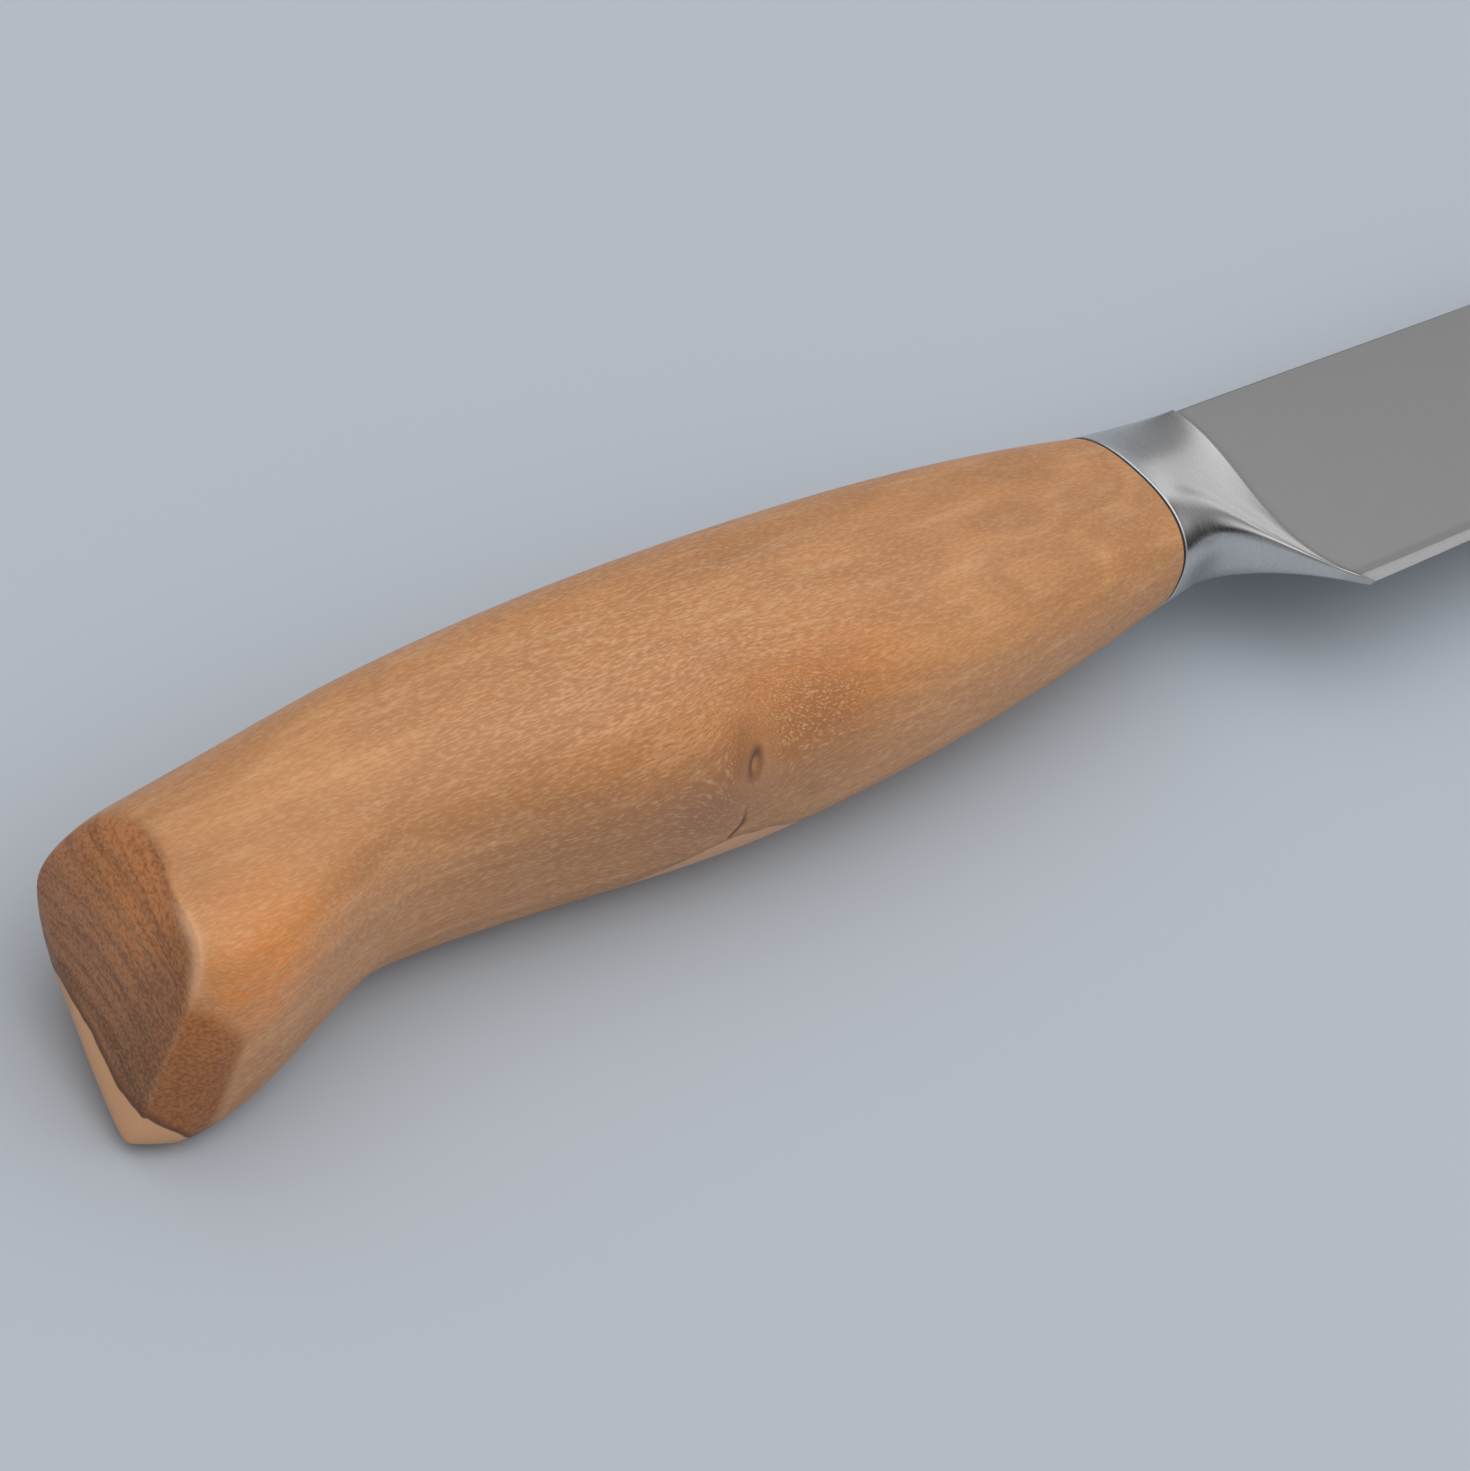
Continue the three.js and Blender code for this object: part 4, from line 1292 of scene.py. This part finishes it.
def build_world():
    """A soft sky with a dark wall to the right and a pale one beyond the tip.

    The sky is brighter overhead and in front of the belly.
    """
    world = bpy.data.worlds.new("studio")
    sky = Shader(world=world)
    direction = sky.node("TexCoord").outputs["Generated"]
    height = sky.parts(direction)["Z"]
    colour = sky.ramp(sky.span(height, SKY_LOW, 1.0), [(0, SKY_HORIZON), (1, SKY_ZENITH)])
    front = sky.dot(direction, direction_of(*SKY_FRONT))
    tilt = sky.math("MULTIPLY_ADD", front, SKY_FRONT_SHARE * SKY_STRENGTH, SKY_STRENGTH)
    right = sky.dot(direction, direction_of(*DARK_WALL))
    wall = sky.span(right, DARK_WALL_START, DARK_WALL_END)
    wall = sky.math("MULTIPLY", wall, sky.span(height, DARK_WALL_FADE, DARK_WALL_TOP))
    light = sky.math("MULTIPLY_ADD", wall, -DARK_WALL_SHARE, 1.0)
    colour = sky.blend(1.0, colour, sky.math("MULTIPLY", tilt, light), "MULTIPLY")
    far = sky.dot(direction, direction_of(*PALE_WALL))
    pale = sky.span(far, PALE_WALL_START, PALE_WALL_END, 0.0, PALE_WALL_LEVEL)
    colour = sky.blend(1.0, colour, pale, "ADD")
    sky.set(Color=colour, Strength=1.0)
    bpy.context.scene.world = world


def build_window():
    """A low window beyond the tip, which the bolster mirrors."""
    data = bpy.data.lights.new("window", "AREA")
    data.shape = "RECTANGLE"
    data.size = WINDOW_WIDTH
    data.size_y = WINDOW_HEIGHT
    data.energy = WINDOW_POWER
    lamp = bpy.data.objects.new("window", data)
    side = direction_of(*WINDOW_SIDE)
    lamp.location = side * WINDOW_DISTANCE
    lamp.rotation_euler = (-side).to_track_quat("-Z", "Y").to_euler()
    bpy.context.scene.collection.objects.link(lamp)


def build_camera():
    data = bpy.data.cameras.new("camera")
    data.sensor_width = SENSOR_MM
    data.lens = FOCAL_LENGTH_PX / FRAME_HEIGHT_PX * SENSOR_MM
    data.clip_start, data.clip_end = CAMERA_CLIP
    camera = bpy.data.objects.new("camera", data)
    forward = Vector(CAMERA_FORWARD).normalized()
    right = forward.cross(Vector(CAMERA_UP)).normalized()
    up = right.cross(forward)
    axes = Matrix((right, up, -forward)).transposed()
    place = Matrix.Translation(Vector(row_frame(CAMERA_PLACE)))
    camera.matrix_world = place @ axes.to_4x4()
    bpy.context.scene.collection.objects.link(camera)
    bpy.context.scene.camera = camera


bpy.context.scene.view_settings.view_transform = "Standard"
build_handle(wood())
build_spacer(fibre())
build_forging(
    brushed_steel("brushed_bolster", **BOLSTER_LOOK),
    brushed_steel("satin_blade", **BLADE_LOOK),
    brushed_steel("ground_edge", **EDGE_LOOK),
)
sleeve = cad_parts["tang_adhesive"]
sleeve.data.materials.clear()
sleeve.data.materials.append(adhesive())
build_floor()
build_world()
build_window()
build_camera()
